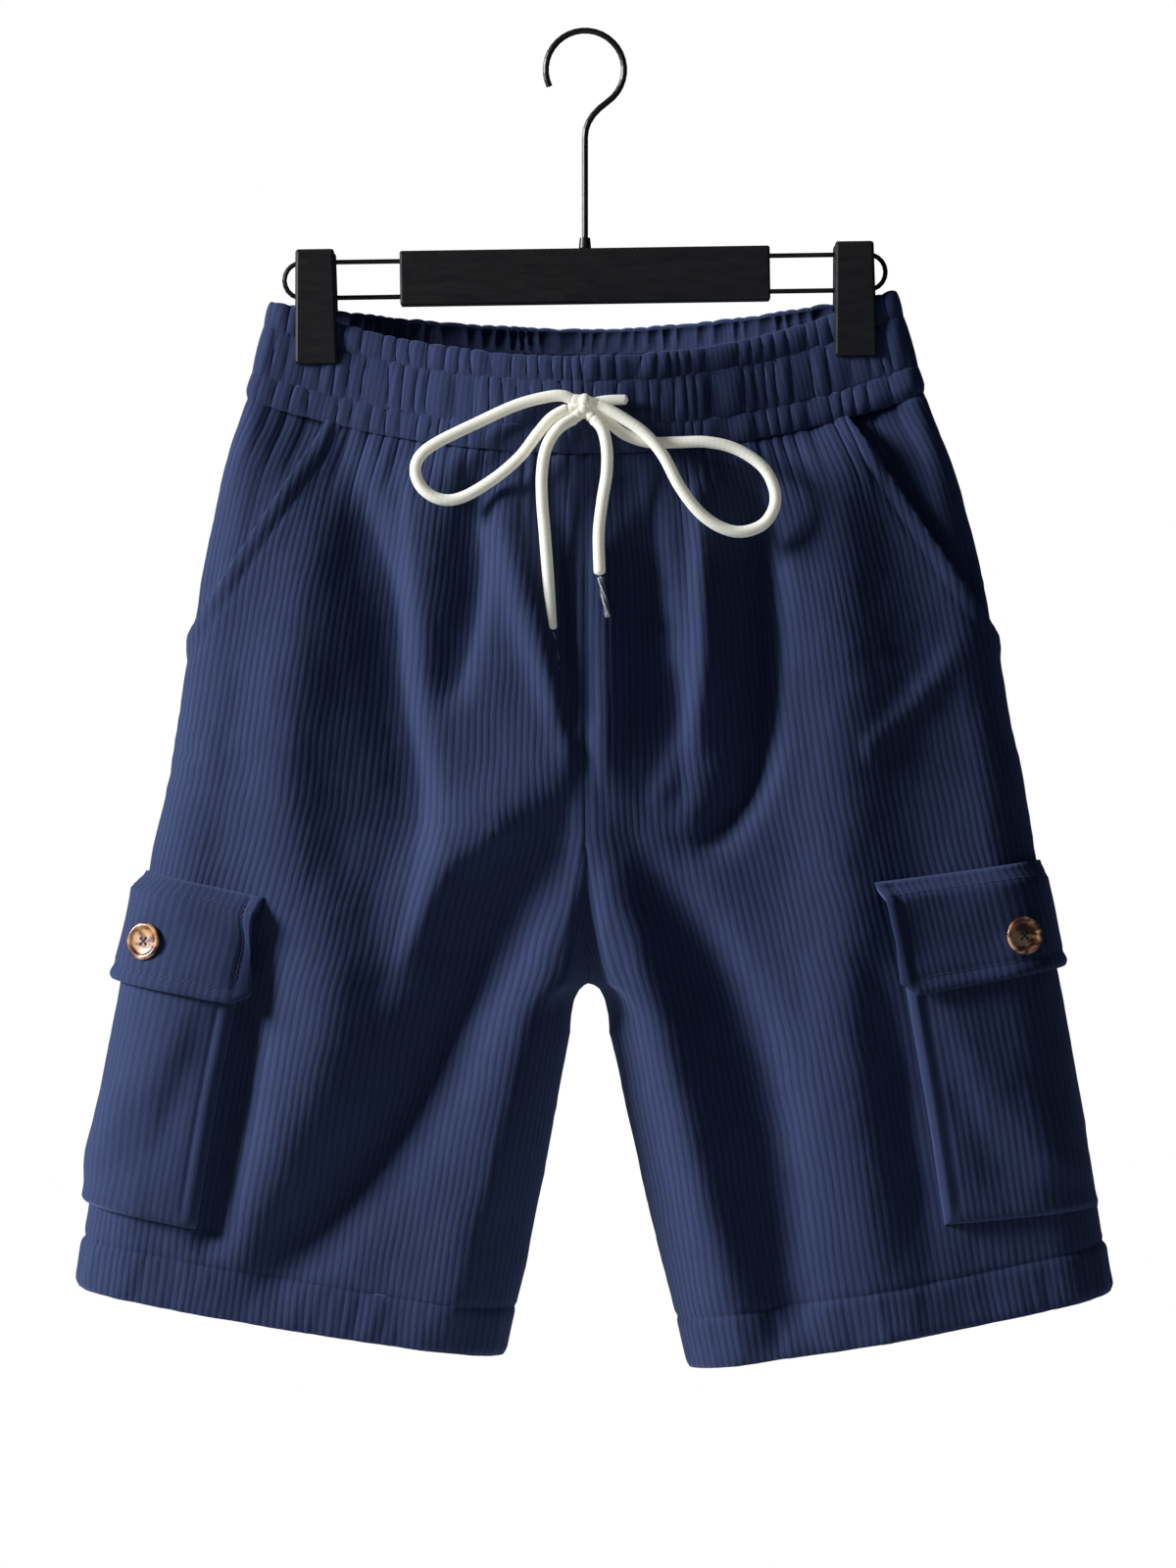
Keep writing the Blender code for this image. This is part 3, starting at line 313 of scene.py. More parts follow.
def crease_height(crease, x, z):
    """How far one crease lifts or sinks the cloth at every x and z."""
    line = smooth_line(crease.line, 6)
    best = np.full(x.shape, 1e9)
    height = np.zeros(x.shape)
    turn = np.zeros(x.shape)
    for start, end in zip(line, line[1:]):
        run = end - start
        t = ((x - start[0]) * run[0] + (z - start[1]) * run[1]) / (run[0] ** 2 + run[1] ** 2)
        t = np.clip(t, 0, 1)
        dx = x - start[0] - t * run[0]
        dz = z - start[1] - t * run[1]
        away = np.hypot(dx, dz)
        near = away < best
        best = np.where(near, away, best)
        height = np.where(near, start[2] + t * run[2], height)
        side = (run[0] * dz - run[1] * dx) / math.hypot(run[0], run[1])
        turn = np.where(near, side / (away + 1e-6), turn)
    width = crease.left + (crease.right - crease.left) * smooth_step(0.5 + 0.5 * turn)
    return height * np.exp(-((best / width) ** 2))


# ---------------------------------------------------------------- cloth fields

FINE = 220    # points across a half section before it is sampled along the wales


def ripple(seed, u, v):
    """Smooth noise from -1 to 1, over places counted in its own cells."""
    table = np.random.RandomState(seed).uniform(-1, 1, (64, 64))
    u, v = np.broadcast_arrays(np.asarray(u, float), np.asarray(v, float))
    i, j = np.floor(u).astype(int), np.floor(v).astype(int)
    s, t = smooth_step(u - i), smooth_step(v - j)
    near = table[i % 64, j % 64] * (1 - s) + table[(i + 1) % 64, j % 64] * s
    far = table[i % 64, (j + 1) % 64] * (1 - s) + table[(i + 1) % 64, (j + 1) % 64] * s
    return near * (1 - t) + far * t


def gather(side, face, across, row):
    """Irregular gathers drawn in by the elastic: 1 on a crest, 0 in a narrow valley."""
    seed = (11 if side == "left" else 23) + (0 if face == "front" else 40)
    channel = sum(smooth_step((row - seam) / 0.05 + 0.5) for seam in CHANNEL_SEAMS)
    place = across * 21 + 0.9 * ripple(seed, across * 8.3, channel * 1.9 + 0.3) + 0.55 * channel
    place = place + 0.35 * ripple(seed + 1, across * 17, channel * 3.1 + row * 1.5) + 0.5 * row
    crest = np.abs(np.cos(np.pi * place)) ** 0.75
    size = 0.62 + 0.38 * ripple(seed + 2, across * 21, channel * 2.3)
    return crest * np.clip(size, 0.15, 1)


class Field:
    """Points and normals of one half of the garment, from which every cloth piece is read."""

    def __init__(self, side, face, levels, creased=True):
        self.side, self.face = side, face
        self.levels = np.array(levels, float)
        self.sign = -1 if face == "front" else 1
        self.across = np.linspace(0, 1, FINE)
        rows = []
        self.length = np.zeros(len(levels))
        for row, level in enumerate(self.levels):
            arc, x, y, z = half_section(side, face, round(float(level), 6))
            s = GAP / 2 + self.across * (arc[-1] - GAP)
            rows.append(np.column_stack([np.interp(s, arc, value) for value in (x, y, z)]))
            self.length[row] = arc[-1]
        self.points = np.array(rows)
        if creased:
            self.crease()
        self.normals = self.find_normals()

    def crease(self):
        x, z = self.points[..., 0], self.points[..., 2]
        raised = CREASE_GAIN * sum(crease_height(crease, x, z) for crease in CREASES[self.face])
        level = self.levels[:, None]
        pocket = smooth_step((level - FORK_TOP) / (CROTCH - FORK_TOP))
        fade = smooth_step(self.across / 0.05) * smooth_step((1 - self.across) / (0.1 + 0.2 * pocket))
        fade = fade * smooth_step((level - WAIST_SEAM) / 0.55)
        self.points[..., 1] += self.sign * raised * fade

    def find_normals(self):
        run_u = np.gradient(self.points, axis=1)
        run_v = np.gradient(self.points, axis=0)
        normals = np.cross(run_u, run_v)
        if (self.side == "left") != (self.face == "front"):
            normals = -normals
        hips = self.levels <= CROTCH
        normals[hips, 0, 0] = 0
        normals[~hips, 0, 1] = 0
        normals[:, -1, 1] = 0
        length = np.linalg.norm(normals, axis=2, keepdims=True)
        return normals / np.maximum(length, 1e-9)

    def at(self, across, level):
        """Points and normals at fractions across and at levels, both arrays of one shape."""
        row = np.interp(level, self.levels, np.arange(len(self.levels)))
        top = np.clip(row.astype(int), 0, len(self.levels) - 2)
        down = (row - top)[..., None]
        place = np.clip(across, 0, 1) * (FINE - 1)
        left = np.clip(place.astype(int), 0, FINE - 2)
        along = (place - left)[..., None]
        found = []
        for table in (self.points, self.normals):
            upper = table[top, left] * (1 - along) + table[top, left + 1] * along
            lower = table[top + 1, left] * (1 - along) + table[top + 1, left + 1] * along
            found.append(upper * (1 - down) + lower * down)
        points, normals = found
        return points, normals / np.maximum(np.linalg.norm(normals, axis=-1, keepdims=True), 1e-9)


def wale_height(phase):
    """Rounded cord with a narrow valley, 0 in the valley and 1 on the crest."""
    return np.abs(np.cos(np.pi * phase)) ** 0.8


def grid_faces(rows, columns):
    start = (np.arange(rows - 1)[:, None] * columns + np.arange(columns - 1)[None, :]).ravel()
    return np.column_stack((start, start + 1, start + columns + 1, start + columns))


def linked(name, data):
    """A new object in the scene."""
    obj = bpy.data.objects.new(name, data)
    bpy.context.scene.collection.objects.link(obj)
    return obj


def mesh_of(shape, name):
    """The bmesh as a mesh of its own."""
    mesh = bpy.data.meshes.new(name)
    shape.to_mesh(mesh)
    shape.free()
    return mesh


def sheet_object(name, points, wale, place, flip=False):
    """A mesh from a grid of points in millimetres, with its wale height and its own UV map."""
    rows, columns = points.shape[:2]
    faces = grid_faces(rows, columns)
    if flip:
        faces = faces[:, ::-1]
    mesh = bpy.data.meshes.new(name)
    mesh.from_pydata((points.reshape(-1, 3) * MM).tolist(), [], faces.tolist())
    attribute = mesh.attributes.new("wale", "FLOAT", "POINT")
    attribute.data.foreach_set("value", np.ascontiguousarray(wale, np.float32).ravel())
    layer = mesh.uv_layers.new(name="cloth")
    loops = np.empty(len(mesh.loops), np.int32)
    mesh.loops.foreach_get("vertex_index", loops)
    layer.data.foreach_set("uv", np.ascontiguousarray(place.reshape(-1, 2)[loops] * MM, np.float32).ravel())
    obj = linked(name, mesh)
    tidy_mesh(obj)
    return obj


def tidy_mesh(obj, distance=0.02 * MM):
    shape = bmesh.new()
    shape.from_mesh(obj.data)
    bmesh.ops.remove_doubles(shape, verts=shape.verts, dist=distance)
    bmesh.ops.dissolve_degenerate(shape, edges=shape.edges, dist=1e-6)
    shape.to_mesh(obj.data)
    shape.free()
    obj.data.shade_smooth()


def thicken(obj, wall):
    """Gives the cloth its wall, inwards from its outer face."""
    solid = obj.modifiers.new("cloth_wall", "SOLIDIFY")
    solid.thickness = wall * MM
    solid.offset = -1
    solid.use_even_offset = False
    solid.use_rim = True
    return settle(obj)


def settle(obj):
    """Turns the modifiers' result into the object's own plain mesh."""
    bpy.context.view_layer.update()
    graph = bpy.context.evaluated_depsgraph_get()
    mesh = bpy.data.meshes.new_from_object(obj.evaluated_get(graph), depsgraph=graph)
    obj.modifiers.clear()
    old = obj.data
    obj.data = mesh
    bpy.data.meshes.remove(old)
    mesh.shade_smooth()
    return obj


def dress(obj, material, slot, *nodes):
    """Gives a finished piece its material and body, and hides the CAD nodes that it stands for. Its slot
    argument is not used.
    """
    obj.data.materials.clear()
    obj.data.materials.append(material)
    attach(obj, "root")
    if nodes:
        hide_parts(*nodes)
    return obj


# ---------------------------------------------------------------- settings

def length_setting(name, description, default, low, high):
    return FloatProperty(
        name=name, description=description, default=default, min=low, max=high,
        subtype="DISTANCE", unit="LENGTH")


def colour_setting(name, description, default):
    return FloatVectorProperty(
        name=name, description=description, default=default, min=0, max=1, subtype="COLOR")


class ShortsCloth(bpy.types.PropertyGroup):
    """Sizes and colours of the corduroy."""

    pitch: length_setting("Wale pitch", "Distance from one wale to the next", 0.0039, 0.002, 0.008)
    relief: length_setting("Wale relief", "Height of the cords over the cloth's ground", 0.00025, 0, 0.002)
    wall: length_setting("Cloth thickness", "One layer without its pile", 0.0016, 0.0005, 0.004)
    gather: length_setting("Gather height", "How far the waist's gathers stand out", 0.0021, 0, 0.004)
    crest: colour_setting("Crest colour", "Colour on top of the cords", (0.036, 0.051, 0.117))
    # The valley colour is painted shade in the grooves between the cords, on top of the ground weave's own
    # darker colour.
    valley: colour_setting("Valley colour", "Colour of the ground between the cords", (0.019, 0.026, 0.072))


class ShortsCord(bpy.types.PropertyGroup):
    """Sizes and colours of the drawcord and its tips."""

    diameter: length_setting("Cord diameter", "Thickness of the braided drawcord", 0.0065, 0.002, 0.012)
    braid: length_setting("Braid relief", "Height of the braid's strands", 0.00006, 0, 0.001)
    tip: length_setting("Tip diameter", "Thickness of the twisted tips", 0.0031, 0.001, 0.006)
    yarn: colour_setting("Yarn colour", "Colour of the unbleached cotton", (0.87, 0.85, 0.735))


class ShortsStitches(bpy.types.PropertyGroup):
    """Sizes and colour of the seams' stitches."""

    pitch: length_setting("Stitch pitch", "Distance from one stitch to the next", 0.0034, 0.001, 0.008)
    length: length_setting("Stitch length", "Thread that shows in one stitch", 0.0027, 0.001, 0.008)
    thread: length_setting("Thread thickness", "Thickness of the sewing thread", 0.0006, 0.0002, 0.002)
    colour: colour_setting("Thread colour", "Colour of the sewing thread", (0.016, 0.021, 0.058))


class ShortsStage(bpy.types.PropertyGroup):
    """Light and floor."""

    key: FloatProperty(
        name="Key light", description="Strength of the large soft light at the left",
        default=172, min=0, max=2000, unit="POWER")
    fill: FloatProperty(
        name="Surround", description="Strength of the light that comes from all round",
        default=0.075, min=0, max=3)
    floor: colour_setting("Floor colour", "Colour of the plain floor", (0.86, 0.86, 0.86))


# ---------------------------------------------------------------- materials

class Number:
    """A socket that carries a number, so that shader maths reads as Python does."""

    def __init__(self, shader, socket):
        self.shader, self.socket = shader, socket

    def maths(self, operation, *values):
        node = self.shader.node("ShaderNodeMath", {"operation": operation}, dict(enumerate(values)))
        return Number(self.shader, node.outputs[0])

    def __add__(self, other):
        return self.maths("ADD", self, other)

    def __sub__(self, other):
        return self.maths("SUBTRACT", self, other)

    def __rsub__(self, other):
        return self.maths("SUBTRACT", other, self)

    def __mul__(self, other):
        return self.maths("MULTIPLY", self, other)

    def limited(self):
        return self.maths("MINIMUM", self.maths("MAXIMUM", self, 0.0), 1.0)

    __radd__ = __add__
    __rmul__ = __mul__


class Shader:
    """One material with a principled shader, and the few calls that build its nodes."""

    def __init__(self, name, **constants):
        self.material = bpy.data.materials.new(name)
        self.material.use_nodes = True
        self.tree = self.material.node_tree
        self.tree.nodes.clear()
        self.skin = self.node("ShaderNodeBsdfPrincipled", {}, {})
        out = self.node("ShaderNodeOutputMaterial", {}, {})
        self.tree.links.new(self.skin.outputs["BSDF"], out.inputs["Surface"])
        for socket, value in constants.items():
            self.skin.inputs[socket.replace("_", " ")].default_value = value

    def node(self, kind, settings, sockets):
        node = self.tree.nodes.new(kind)
        for name, value in settings.items():
            if name == "stops":
                ramp = node.color_ramp
                while len(ramp.elements) < len(value):
                    ramp.elements.new(0.5)
                for element, (position, colour) in zip(ramp.elements, value):
                    element.position = position
                    element.color = colour
            else:
                setattr(node, name, value)
        for name, value in sockets.items():
            if isinstance(value, Number):
                value = value.socket
            if isinstance(value, bpy.types.NodeSocket):
                self.tree.links.new(value, node.inputs[name])
            else:
                node.inputs[name].default_value = value
        return node

    def place(self, source="Object", scale=(1, 1, 1), turn=(0, 0, 0)):
        """Object coordinates or the piece's own UV map, scaled and turned."""
        if source == "Object":
            vector = self.node("ShaderNodeTexCoord", {}, {}).outputs["Object"]
        else:
            vector = self.node("ShaderNodeUVMap", {"uv_map": source}, {}).outputs["UV"]
        mapping = {"Vector": vector, "Scale": scale, "Rotation": turn}
        return self.node("ShaderNodeMapping", {}, mapping).outputs["Vector"]

    def noise(self, vector, scale, detail=2.0, roughness=0.5, distortion=0.0):
        node = self.node("ShaderNodeTexNoise", {}, {
            "Vector": vector, "Scale": scale, "Detail": detail, "Roughness": roughness,
            "Distortion": distortion})
        return Number(self, node.outputs["Fac"])

    def attribute(self, name):
        return Number(self, self.node("ShaderNodeAttribute", {"attribute_name": name}, {}).outputs["Fac"])

    def mix(self, factor, first, second, blend="MIX"):
        node = self.node("ShaderNodeMix", {"data_type": "RGBA", "blend_type": blend}, {
            0: factor, 6: first, 7: second})
        return node.outputs[2]

    def scaled(self, colour, number):
        """A colour made lighter or darker by a number."""
        if isinstance(colour, tuple):
            colour = colour[:3]
        grey = self.node("ShaderNodeCombineXYZ", {}, {0: number, 1: number, 2: number}).outputs[0]
        node = self.node("ShaderNodeVectorMath", {"operation": "MULTIPLY"}, {0: colour, 1: grey})
        return node.outputs[0]

    def bump(self, height, distance, strength=1.0):
        node = self.node("ShaderNodeBump", {}, {
            "Height": height, "Distance": distance, "Strength": strength})
        return node.outputs["Normal"]

    def surface(self, **sockets):
        for name, value in sockets.items():
            value = value.socket if isinstance(value, Number) else value
            self.tree.links.new(value, self.skin.inputs[name.replace("_", " ")])
        return self.material


def rgba(colour):
    return (*colour, 1.0)


def corduroy(name, cloth, tone=1.0):
    shader = Shader(
        name, Sheen_Weight=0.34, Sheen_Roughness=0.45, Sheen_Tint=(0.42, 0.55, 1.0, 1),
        Specular_IOR_Level=0.1)
    wale = shader.attribute("wale")
    pile = shader.noise(shader.place("cloth", (1600, 170, 1)), 1.0, 4.0, 0.62)
    fibre = shader.noise(shader.place("cloth", (3400, 900, 1)), 1.0, 2.0, 0.6)
    nap = shader.noise(shader.place("Object"), 17.0, 3.0, 0.55)
    crush = shader.noise(shader.place("cloth", (210, 34, 1)), 1.0, 3.0, 0.6)
    worn = (shader.noise(shader.place("Object"), 26.0, 3.0, 0.6) * 2.4 - 0.7).limited()
    # crest runs from 0 in the grooves to 1 on top of the cords: the darker valley colour there is painted
    # shade, on top of the ground weave's own colour, mixed with random pile and wear.
    crest = (wale * (1.15 - worn * 0.5) + worn * 0.28 + (pile - 0.5) * 0.7 - 0.1).limited()
    colour = shader.mix(crest, rgba(cloth.valley), rgba(cloth.crest))
    shade = 0.66 + nap * 0.24 + crush * 0.28 + fibre * 0.16
    colour = shader.scaled(colour, shade * tone)
    height = wale * 0.2 + pile * 0.6 + fibre * 0.35
    return shader.surface(
        Base_Color=colour, Roughness=0.74 + pile * 0.2, Normal=shader.bump(height, 0.0006, 0.75))


def sewing_thread(stitches):
    shader = Shader("sewing_thread", Sheen_Weight=0.2, Specular_IOR_Level=0.3)
    twist = shader.noise(shader.place("Object", (1, 1, 1)), 1800.0, 2.0)
    colour = shader.mix(twist, rgba(stitches.colour), rgba([c * 1.9 for c in stitches.colour]))
    return shader.surface(Base_Color=colour, Roughness=0.5 + twist * 0.25)


def braided_cotton(cord):
    # Emission_Strength makes the cord glow with painted light that lifts its shaded side, though the cord
    # is no lamp.
    shader = Shader(
        "braided_cotton", Sheen_Weight=0.3, Sheen_Roughness=0.5, Sheen_Tint=(1, 0.98, 0.92, 1),
        Specular_IOR_Level=0.2, Subsurface_Weight=0.6, Subsurface_Scale=0.006,
        Subsurface_Radius=(1.0, 0.95, 0.85), Emission_Strength=0.13)
    strand = shader.attribute("strand")
    fibre = shader.noise(shader.place("cord", (900, 1500, 1)), 1.0, 3.0, 0.6)
    broad = shader.noise(shader.place("Object"), 60.0, 2.0)
    colour = shader.mix((strand * 1.1 + (fibre - 0.5) * 0.5).limited(),
                        rgba((0.80, 0.77, 0.66)), rgba(cord.yarn))
    colour = shader.scaled(colour, 0.92 + broad * 0.1 + fibre * 0.06)
    height = strand * 0.3 + fibre * 0.5
    return shader.surface(
        # Emission_Color: the cord's own colour is also emitted, as a painted glow.
        Base_Color=colour, Emission_Color=colour, Roughness=0.78 + fibre * 0.14,
        Normal=shader.bump(height, 0.0004, 0.6))


def twisted_tip():
    shader = Shader("twisted_tip", Specular_IOR_Level=0.6, Coat_Roughness=0.15)
    strand = shader.attribute("strand")
    speck = shader.noise(shader.place("cord", (700, 900, 1)), 1.0, 2.0, 0.7)
    fleck = (speck * 3.2 - 1.35).limited()
    colour = shader.mix(fleck, rgba((0.20, 0.20, 0.22)), rgba((0.82, 0.82, 0.84)))
    colour = shader.mix(strand, rgba((0.10, 0.10, 0.12)), colour)
    return shader.surface(
        Base_Color=colour, Roughness=0.18 + speck * 0.25, Metallic=fleck * 0.45,
        Coat_Weight=0.4 + speck * 0.4, Normal=shader.bump(strand, 0.0003, 0.5))


def tortoiseshell():
    shader = Shader("tortoiseshell", Specular_IOR_Level=0.5, Coat_Roughness=0.12, Coat_IOR=1.5)
    cloud = shader.noise(shader.place("Object", (1, 1, 1.6), (0.3, 0.5, 0.7)), 46.0, 1.0, 0.45, 3.2)
    grain = shader.noise(shader.place("Object", (1, 1, 4), (0, 0.6, 0.3)), 520.0, 2.0, 0.5, 0.6)
    tone = (cloud * 1.25 + (grain - 0.5) * 0.16 - 0.1).limited()
    colour = shader.node("ShaderNodeValToRGB", {"stops": (
        (0.36, (0.075, 0.022, 0.016, 1)), (0.47, (0.20, 0.072, 0.034, 1)),
        (0.56, (0.50, 0.23, 0.085, 1)), (0.68, (0.58, 0.36, 0.20, 1)))}, {"Fac": tone}).outputs[0]
    return shader.surface(
        Base_Color=colour, Roughness=0.26 + grain * 0.14, Coat_Weight=0.35 + cloud * 0.3,
        Normal=shader.bump(grain, 0.0002, 0.25))


def satin_plastic():
    shader = Shader("satin_black_plastic", Specular_IOR_Level=0.42)
    grain = shader.noise(shader.place("Object"), 900.0, 3.0, 0.6)
    scuff = shader.noise(shader.place("Object", (1, 1, 6)), 55.0, 4.0, 0.65)
    colour = shader.mix(scuff, rgba((0.0055, 0.0053, 0.0053)), rgba((0.0165, 0.0158, 0.0155)))
    return shader.surface(
        Base_Color=colour, Roughness=0.30 + scuff * 0.22 + grain * 0.05,
        Normal=shader.bump(grain, 0.0002, 0.2))


def black_steel():
    shader = Shader("black_steel", Specular_IOR_Level=0.5)
    grain = shader.noise(shader.place("Object", (1, 1, 0.3)), 700.0, 3.0, 0.6)
    worn = (shader.noise(shader.place("Object"), 90.0, 4.0, 0.6) * 2.6 - 1.25).limited()
    colour = shader.mix(worn, rgba((0.012, 0.012, 0.0125)), rgba((0.045, 0.045, 0.048)))
    return shader.surface(
        Base_Color=colour, Roughness=0.26 + grain * 0.18, Metallic=0.35 + worn * 0.45,
        Normal=shader.bump(grain, 0.0002, 0.15))


@lru_cache(maxsize=None)
def finish(name):
    scene = bpy.context.scene
    made = {
        "corduroy": lambda: corduroy("navy_corduroy", scene.shorts_cloth),
        "thread": lambda: sewing_thread(scene.shorts_stitches),
        "cotton": lambda: braided_cotton(scene.shorts_cord),
        "tip": twisted_tip,
        "button": tortoiseshell,
        "plastic": satin_plastic,
        "steel": black_steel,
    }
    return made[name]()


# ---------------------------------------------------------------- cloth pieces

@lru_cache(maxsize=None)
def field(side, face):
    """The whole height of one half of the garment, read at even steps."""
    return Field(side, face, even_levels(side, face, 0, HEM, 4.0))


def even_levels(side, face, top, foot, step):
    """Levels at even heights from one level to another, with the seams' own levels kept."""
    levels = np.linspace(top, foot, 301)
    heights = np.array([
        (column(SECTIONS, face, v) + column(REACHES[side], "outer_z", v)) / 2 for v in levels])
    count = max(2, int(round((heights[0] - heights[-1]) / step)) + 1)
    even = np.interp(np.linspace(-heights[0], -heights[-1], count), -heights, levels)
    even[0], even[-1] = top, foot
    for seam in (WAIST_SEAM, FORK_TOP, CROTCH, THIGH):
        if top < seam < foot:
            even[np.abs(even - seam).argmin()] = seam
    return even


def stand_off(distance, radius):
    """1 at an edge, 0 well inside it."""
    return np.exp(-((distance / radius) ** 2))


def full_length(side, face, levels):
    """Section length at each level, kept at the fork's own above it so that the wales run on."""
    lengths = np.array([section_length(side, face, v) for v in levels])
    top = section_length(side, face, FORK_TOP)
    return lengths, np.where(np.array(levels) <= FORK_TOP, top, lengths)


def wale_columns(side, face, levels, pitch):
    """Fractions across and wale phase of four columns to each wale, from the inner seam outwards."""
    lengths, laid = full_length(side, face, levels)
    count = int(math.ceil(4 * laid.max() / pitch)) + 1
    phase = np.arange(count)[::-1][None, :] / 4 * np.ones((len(levels), 1))
    across = 1 - phase * pitch / laid[:, None]
    inside = smooth_step(across * laid[:, None] / 18) * smooth_step((1 - across) * laid[:, None] / 18)
    down = np.array([-column(SECTIONS, face, v) for v in levels])[:, None]
    across = across + 0.9 * ripple(13, phase * 0.21, down / 24.0) * inside / laid[:, None]
    phase = np.where(across < 0, laid[:, None] / pitch, phase)
    return np.clip(across, 0, 1), phase, lengths


def laid_out(side, face, levels, cloth):
    """Fractions across, wale phase, section lengths, levels, points and normals of one half."""
    across, phase, lengths = wale_columns(side, face, levels, cloth.pitch / MM)
    level = levels[:, None] * np.ones(across.shape)
    return (across, phase, lengths, level, *field(side, face).at(across, level))


def cloth_place(phase, down, cloth):
    """Places along the cloth for its UV map."""
    return np.stack((phase * cloth.pitch / MM, -down * np.ones(phase.shape)), axis=2)


def seam_drop(face, levels, start):
    """Distance in millimetres below a level, down the cloth."""
    heights = np.array([column(SECTIONS, face, v) for v in levels])
    return column(SECTIONS, face, start) - heights


def slant_line(side):
    """Top and foot of the slant pocket's edge, as x and z."""
    pocket = POCKETS[side]
    sign = -1 if side == "left" else 1
    x, z = (half_section(side, "front", float(WAIST_SEAM))[k] for k in (1, 3))
    top_z = float(np.interp(pocket.slant_x, np.abs(x), z))
    end = level_of(side, pocket.slant_z)
    foot_x = column(REACHES[side], "outer_x", end)
    return np.array((sign * pocket.slant_x, top_z)), np.array((sign * foot_x, float(pocket.slant_z)))


def slant_distance(side, points):
    """Distance inside the slant pocket's edge, negative beyond it."""
    top, foot = slant_line(side)
    run = (foot - top) / np.linalg.norm(foot - top)
    sign = -1 if side == "left" else 1
    dx, dz = points[..., 0] - top[0], points[..., 2] - top[1]
    return -(dx * -run[1] + dz * run[0]) * sign


def uneven(wale, phase, down):
    """Wales whose height wanders a little along their length, about zero."""
    wander = ripple(5, np.round(phase) * 0.73, down / 7.0)
    return wale * (1 + 0.4 * wander) - 0.72


HEM_TURN = 26.2            # height of the turned hem
HEM_SEAMS = (26.0, 31.0)   # its two rows of stitches
SLANT_SEAMS = (2.2, 8.6)   # rows of stitches inside the slant pocket's edge
FLAP_SEAM = 8.0            # row of stitches inside the flap's edge
HEM_ROWS = (31.5, 29.0, 27.4, 26.2, 25.0, 23.4, 3.2, 1.6, 0.7)    # extra rows round the hem's seam and edge

CRUMPLES = {    # x, z, width, height and strength of the places where the pile is crushed across
    "front": ((-207, -405, 30, 26, 1.0), (172, -350, 26, 26, 0.9), (-30, -330, 30, 40, 0.4),
              (120, -560, 30, 120, 0.35), (-110, -470, 50, 60, 0.3), (60, -440, 30, 40, 0.35)),
    "back": ((190, -400, 34, 30, 0.9), (-190, -380, 34, 30, 0.9), (0, -430, 50, 40, 0.4)),
}


def crumple(face, points):
    """Small uneven puckers over the whole cloth, stronger in a few crushed places."""
    x, z = points[..., 0], points[..., 2]
    seed = 31 if face == "front" else 57
    height = 0.45 * ripple(seed, x / 17.0, z / 23.0) + 0.22 * ripple(seed + 1, x / 6.0, z / 4.6)
    for cx, cz, wide, tall, strength in CRUMPLES[face]:
        near = np.exp(-(((x - cx) / wide) ** 2) - ((z - cz) / tall) ** 2)
        height = height + strength * near * ripple(seed + 2, x / 13.0 + z / 40.0, z / 5.0)
    return height


def hem_relief(side, along, up):
    """The turned hem: a sewn groove, and the slack of the turning standing in soft upright puckers."""
    seed = 71 if side == "left" else 83
    pucker = ripple(seed, along / 8.5, up / 60.0) + 0.4 * ripple(seed + 1, along / 4.1, up / 30.0)
    turned = smooth_step((27.0 - up) / 5.0) * smooth_step(up / 3.0) * smooth_step(along / 22.0)
    lift = 0.75 * pucker * turned + 0.55 * turned
    return lift - 1.0 * stand_off(up - HEM_TURN, 1.7) - 0.7 * stand_off(up, 1.5)


def make_panel(side, face, cloth):
    """A leg front or back, from the waist seam to the turned hem."""
    levels = even_levels(side, face, WAIST_SEAM, HEM, 5.5)
    sewn_rows = [hem_levels(side, face, up) for up in HEM_ROWS]
    levels = np.unique(np.concatenate((levels, sewn_rows, (WAIST_SEAM + 0.03, WAIST_SEAM + 0.07))))
    across, phase, lengths, _, points, normals = laid_out(side, face, levels, cloth)
    points[levels <= CROTCH, 0, 0] = 0
    wale = wale_height(phase)
    from_inner = across * lengths[:, None]
    from_outer = (1 - across) * lengths[:, None]
    from_waist = seam_drop(face, levels, WAIST_SEAM)[:, None]
    from_hem = -seam_drop(face, levels, HEM)[:, None]
    lift = cloth.relief / MM * uneven(wale, phase, from_waist)
    lift = lift - 1.1 * stand_off(from_inner, 2.2) - 0.9 * stand_off(from_outer, 2.2)
    lift = lift - 0.9 * stand_off(from_waist, 3.0) * smooth_step(from_outer / 25)
    lift = lift + crumple(face, points)
    drawn = gather(side, face, across, 0.95) - 0.45
    drawn = drawn * smooth_step(from_inner / 9)
    lift = lift + 2.3 * drawn * stand_off(from_waist, 34.0) * smooth_step(from_outer / 12)
    pleats = ripple(101 if side == "left" else 103, across * 10.5, from_waist / 90.0)
    pleats = pleats * smooth_step(from_inner / 14) * smooth_step(from_waist / 10)
    lift = lift + 3.4 * pleats * stand_off(from_waist, 66.0) * smooth_step(from_outer / 20)
    lift = lift + hem_relief(side, from_inner, from_hem)
    if face == "front":
        inside = slant_distance(side, points)
        lift = lift + 2.2 * stand_off(inside, 12.0) + 0.9 * stand_off(inside - 3.2, 3.0)
        lift = lift - 0.8 * stand_off(inside - 9.0, 1.6)
    points = points + normals * lift[..., None]
    place = cloth_place(phase, from_waist, cloth)
    name = f"{side}_{face}_panel"
    flip = (side == "left") == (face == "front")
    piece = sheet_object(name, points, wale, place, flip)
    if face == "front":
        cut_slant(piece, side)
    thicken(piece, cloth.wall / MM)
    dress(piece, finish("corduroy"), "corduroy", f"{face}_{side}")
    drop = seam_drop(face, [HEM], WAIST_SEAM)[0]
    lengths.max() * MM
    drop * MM
    return piece


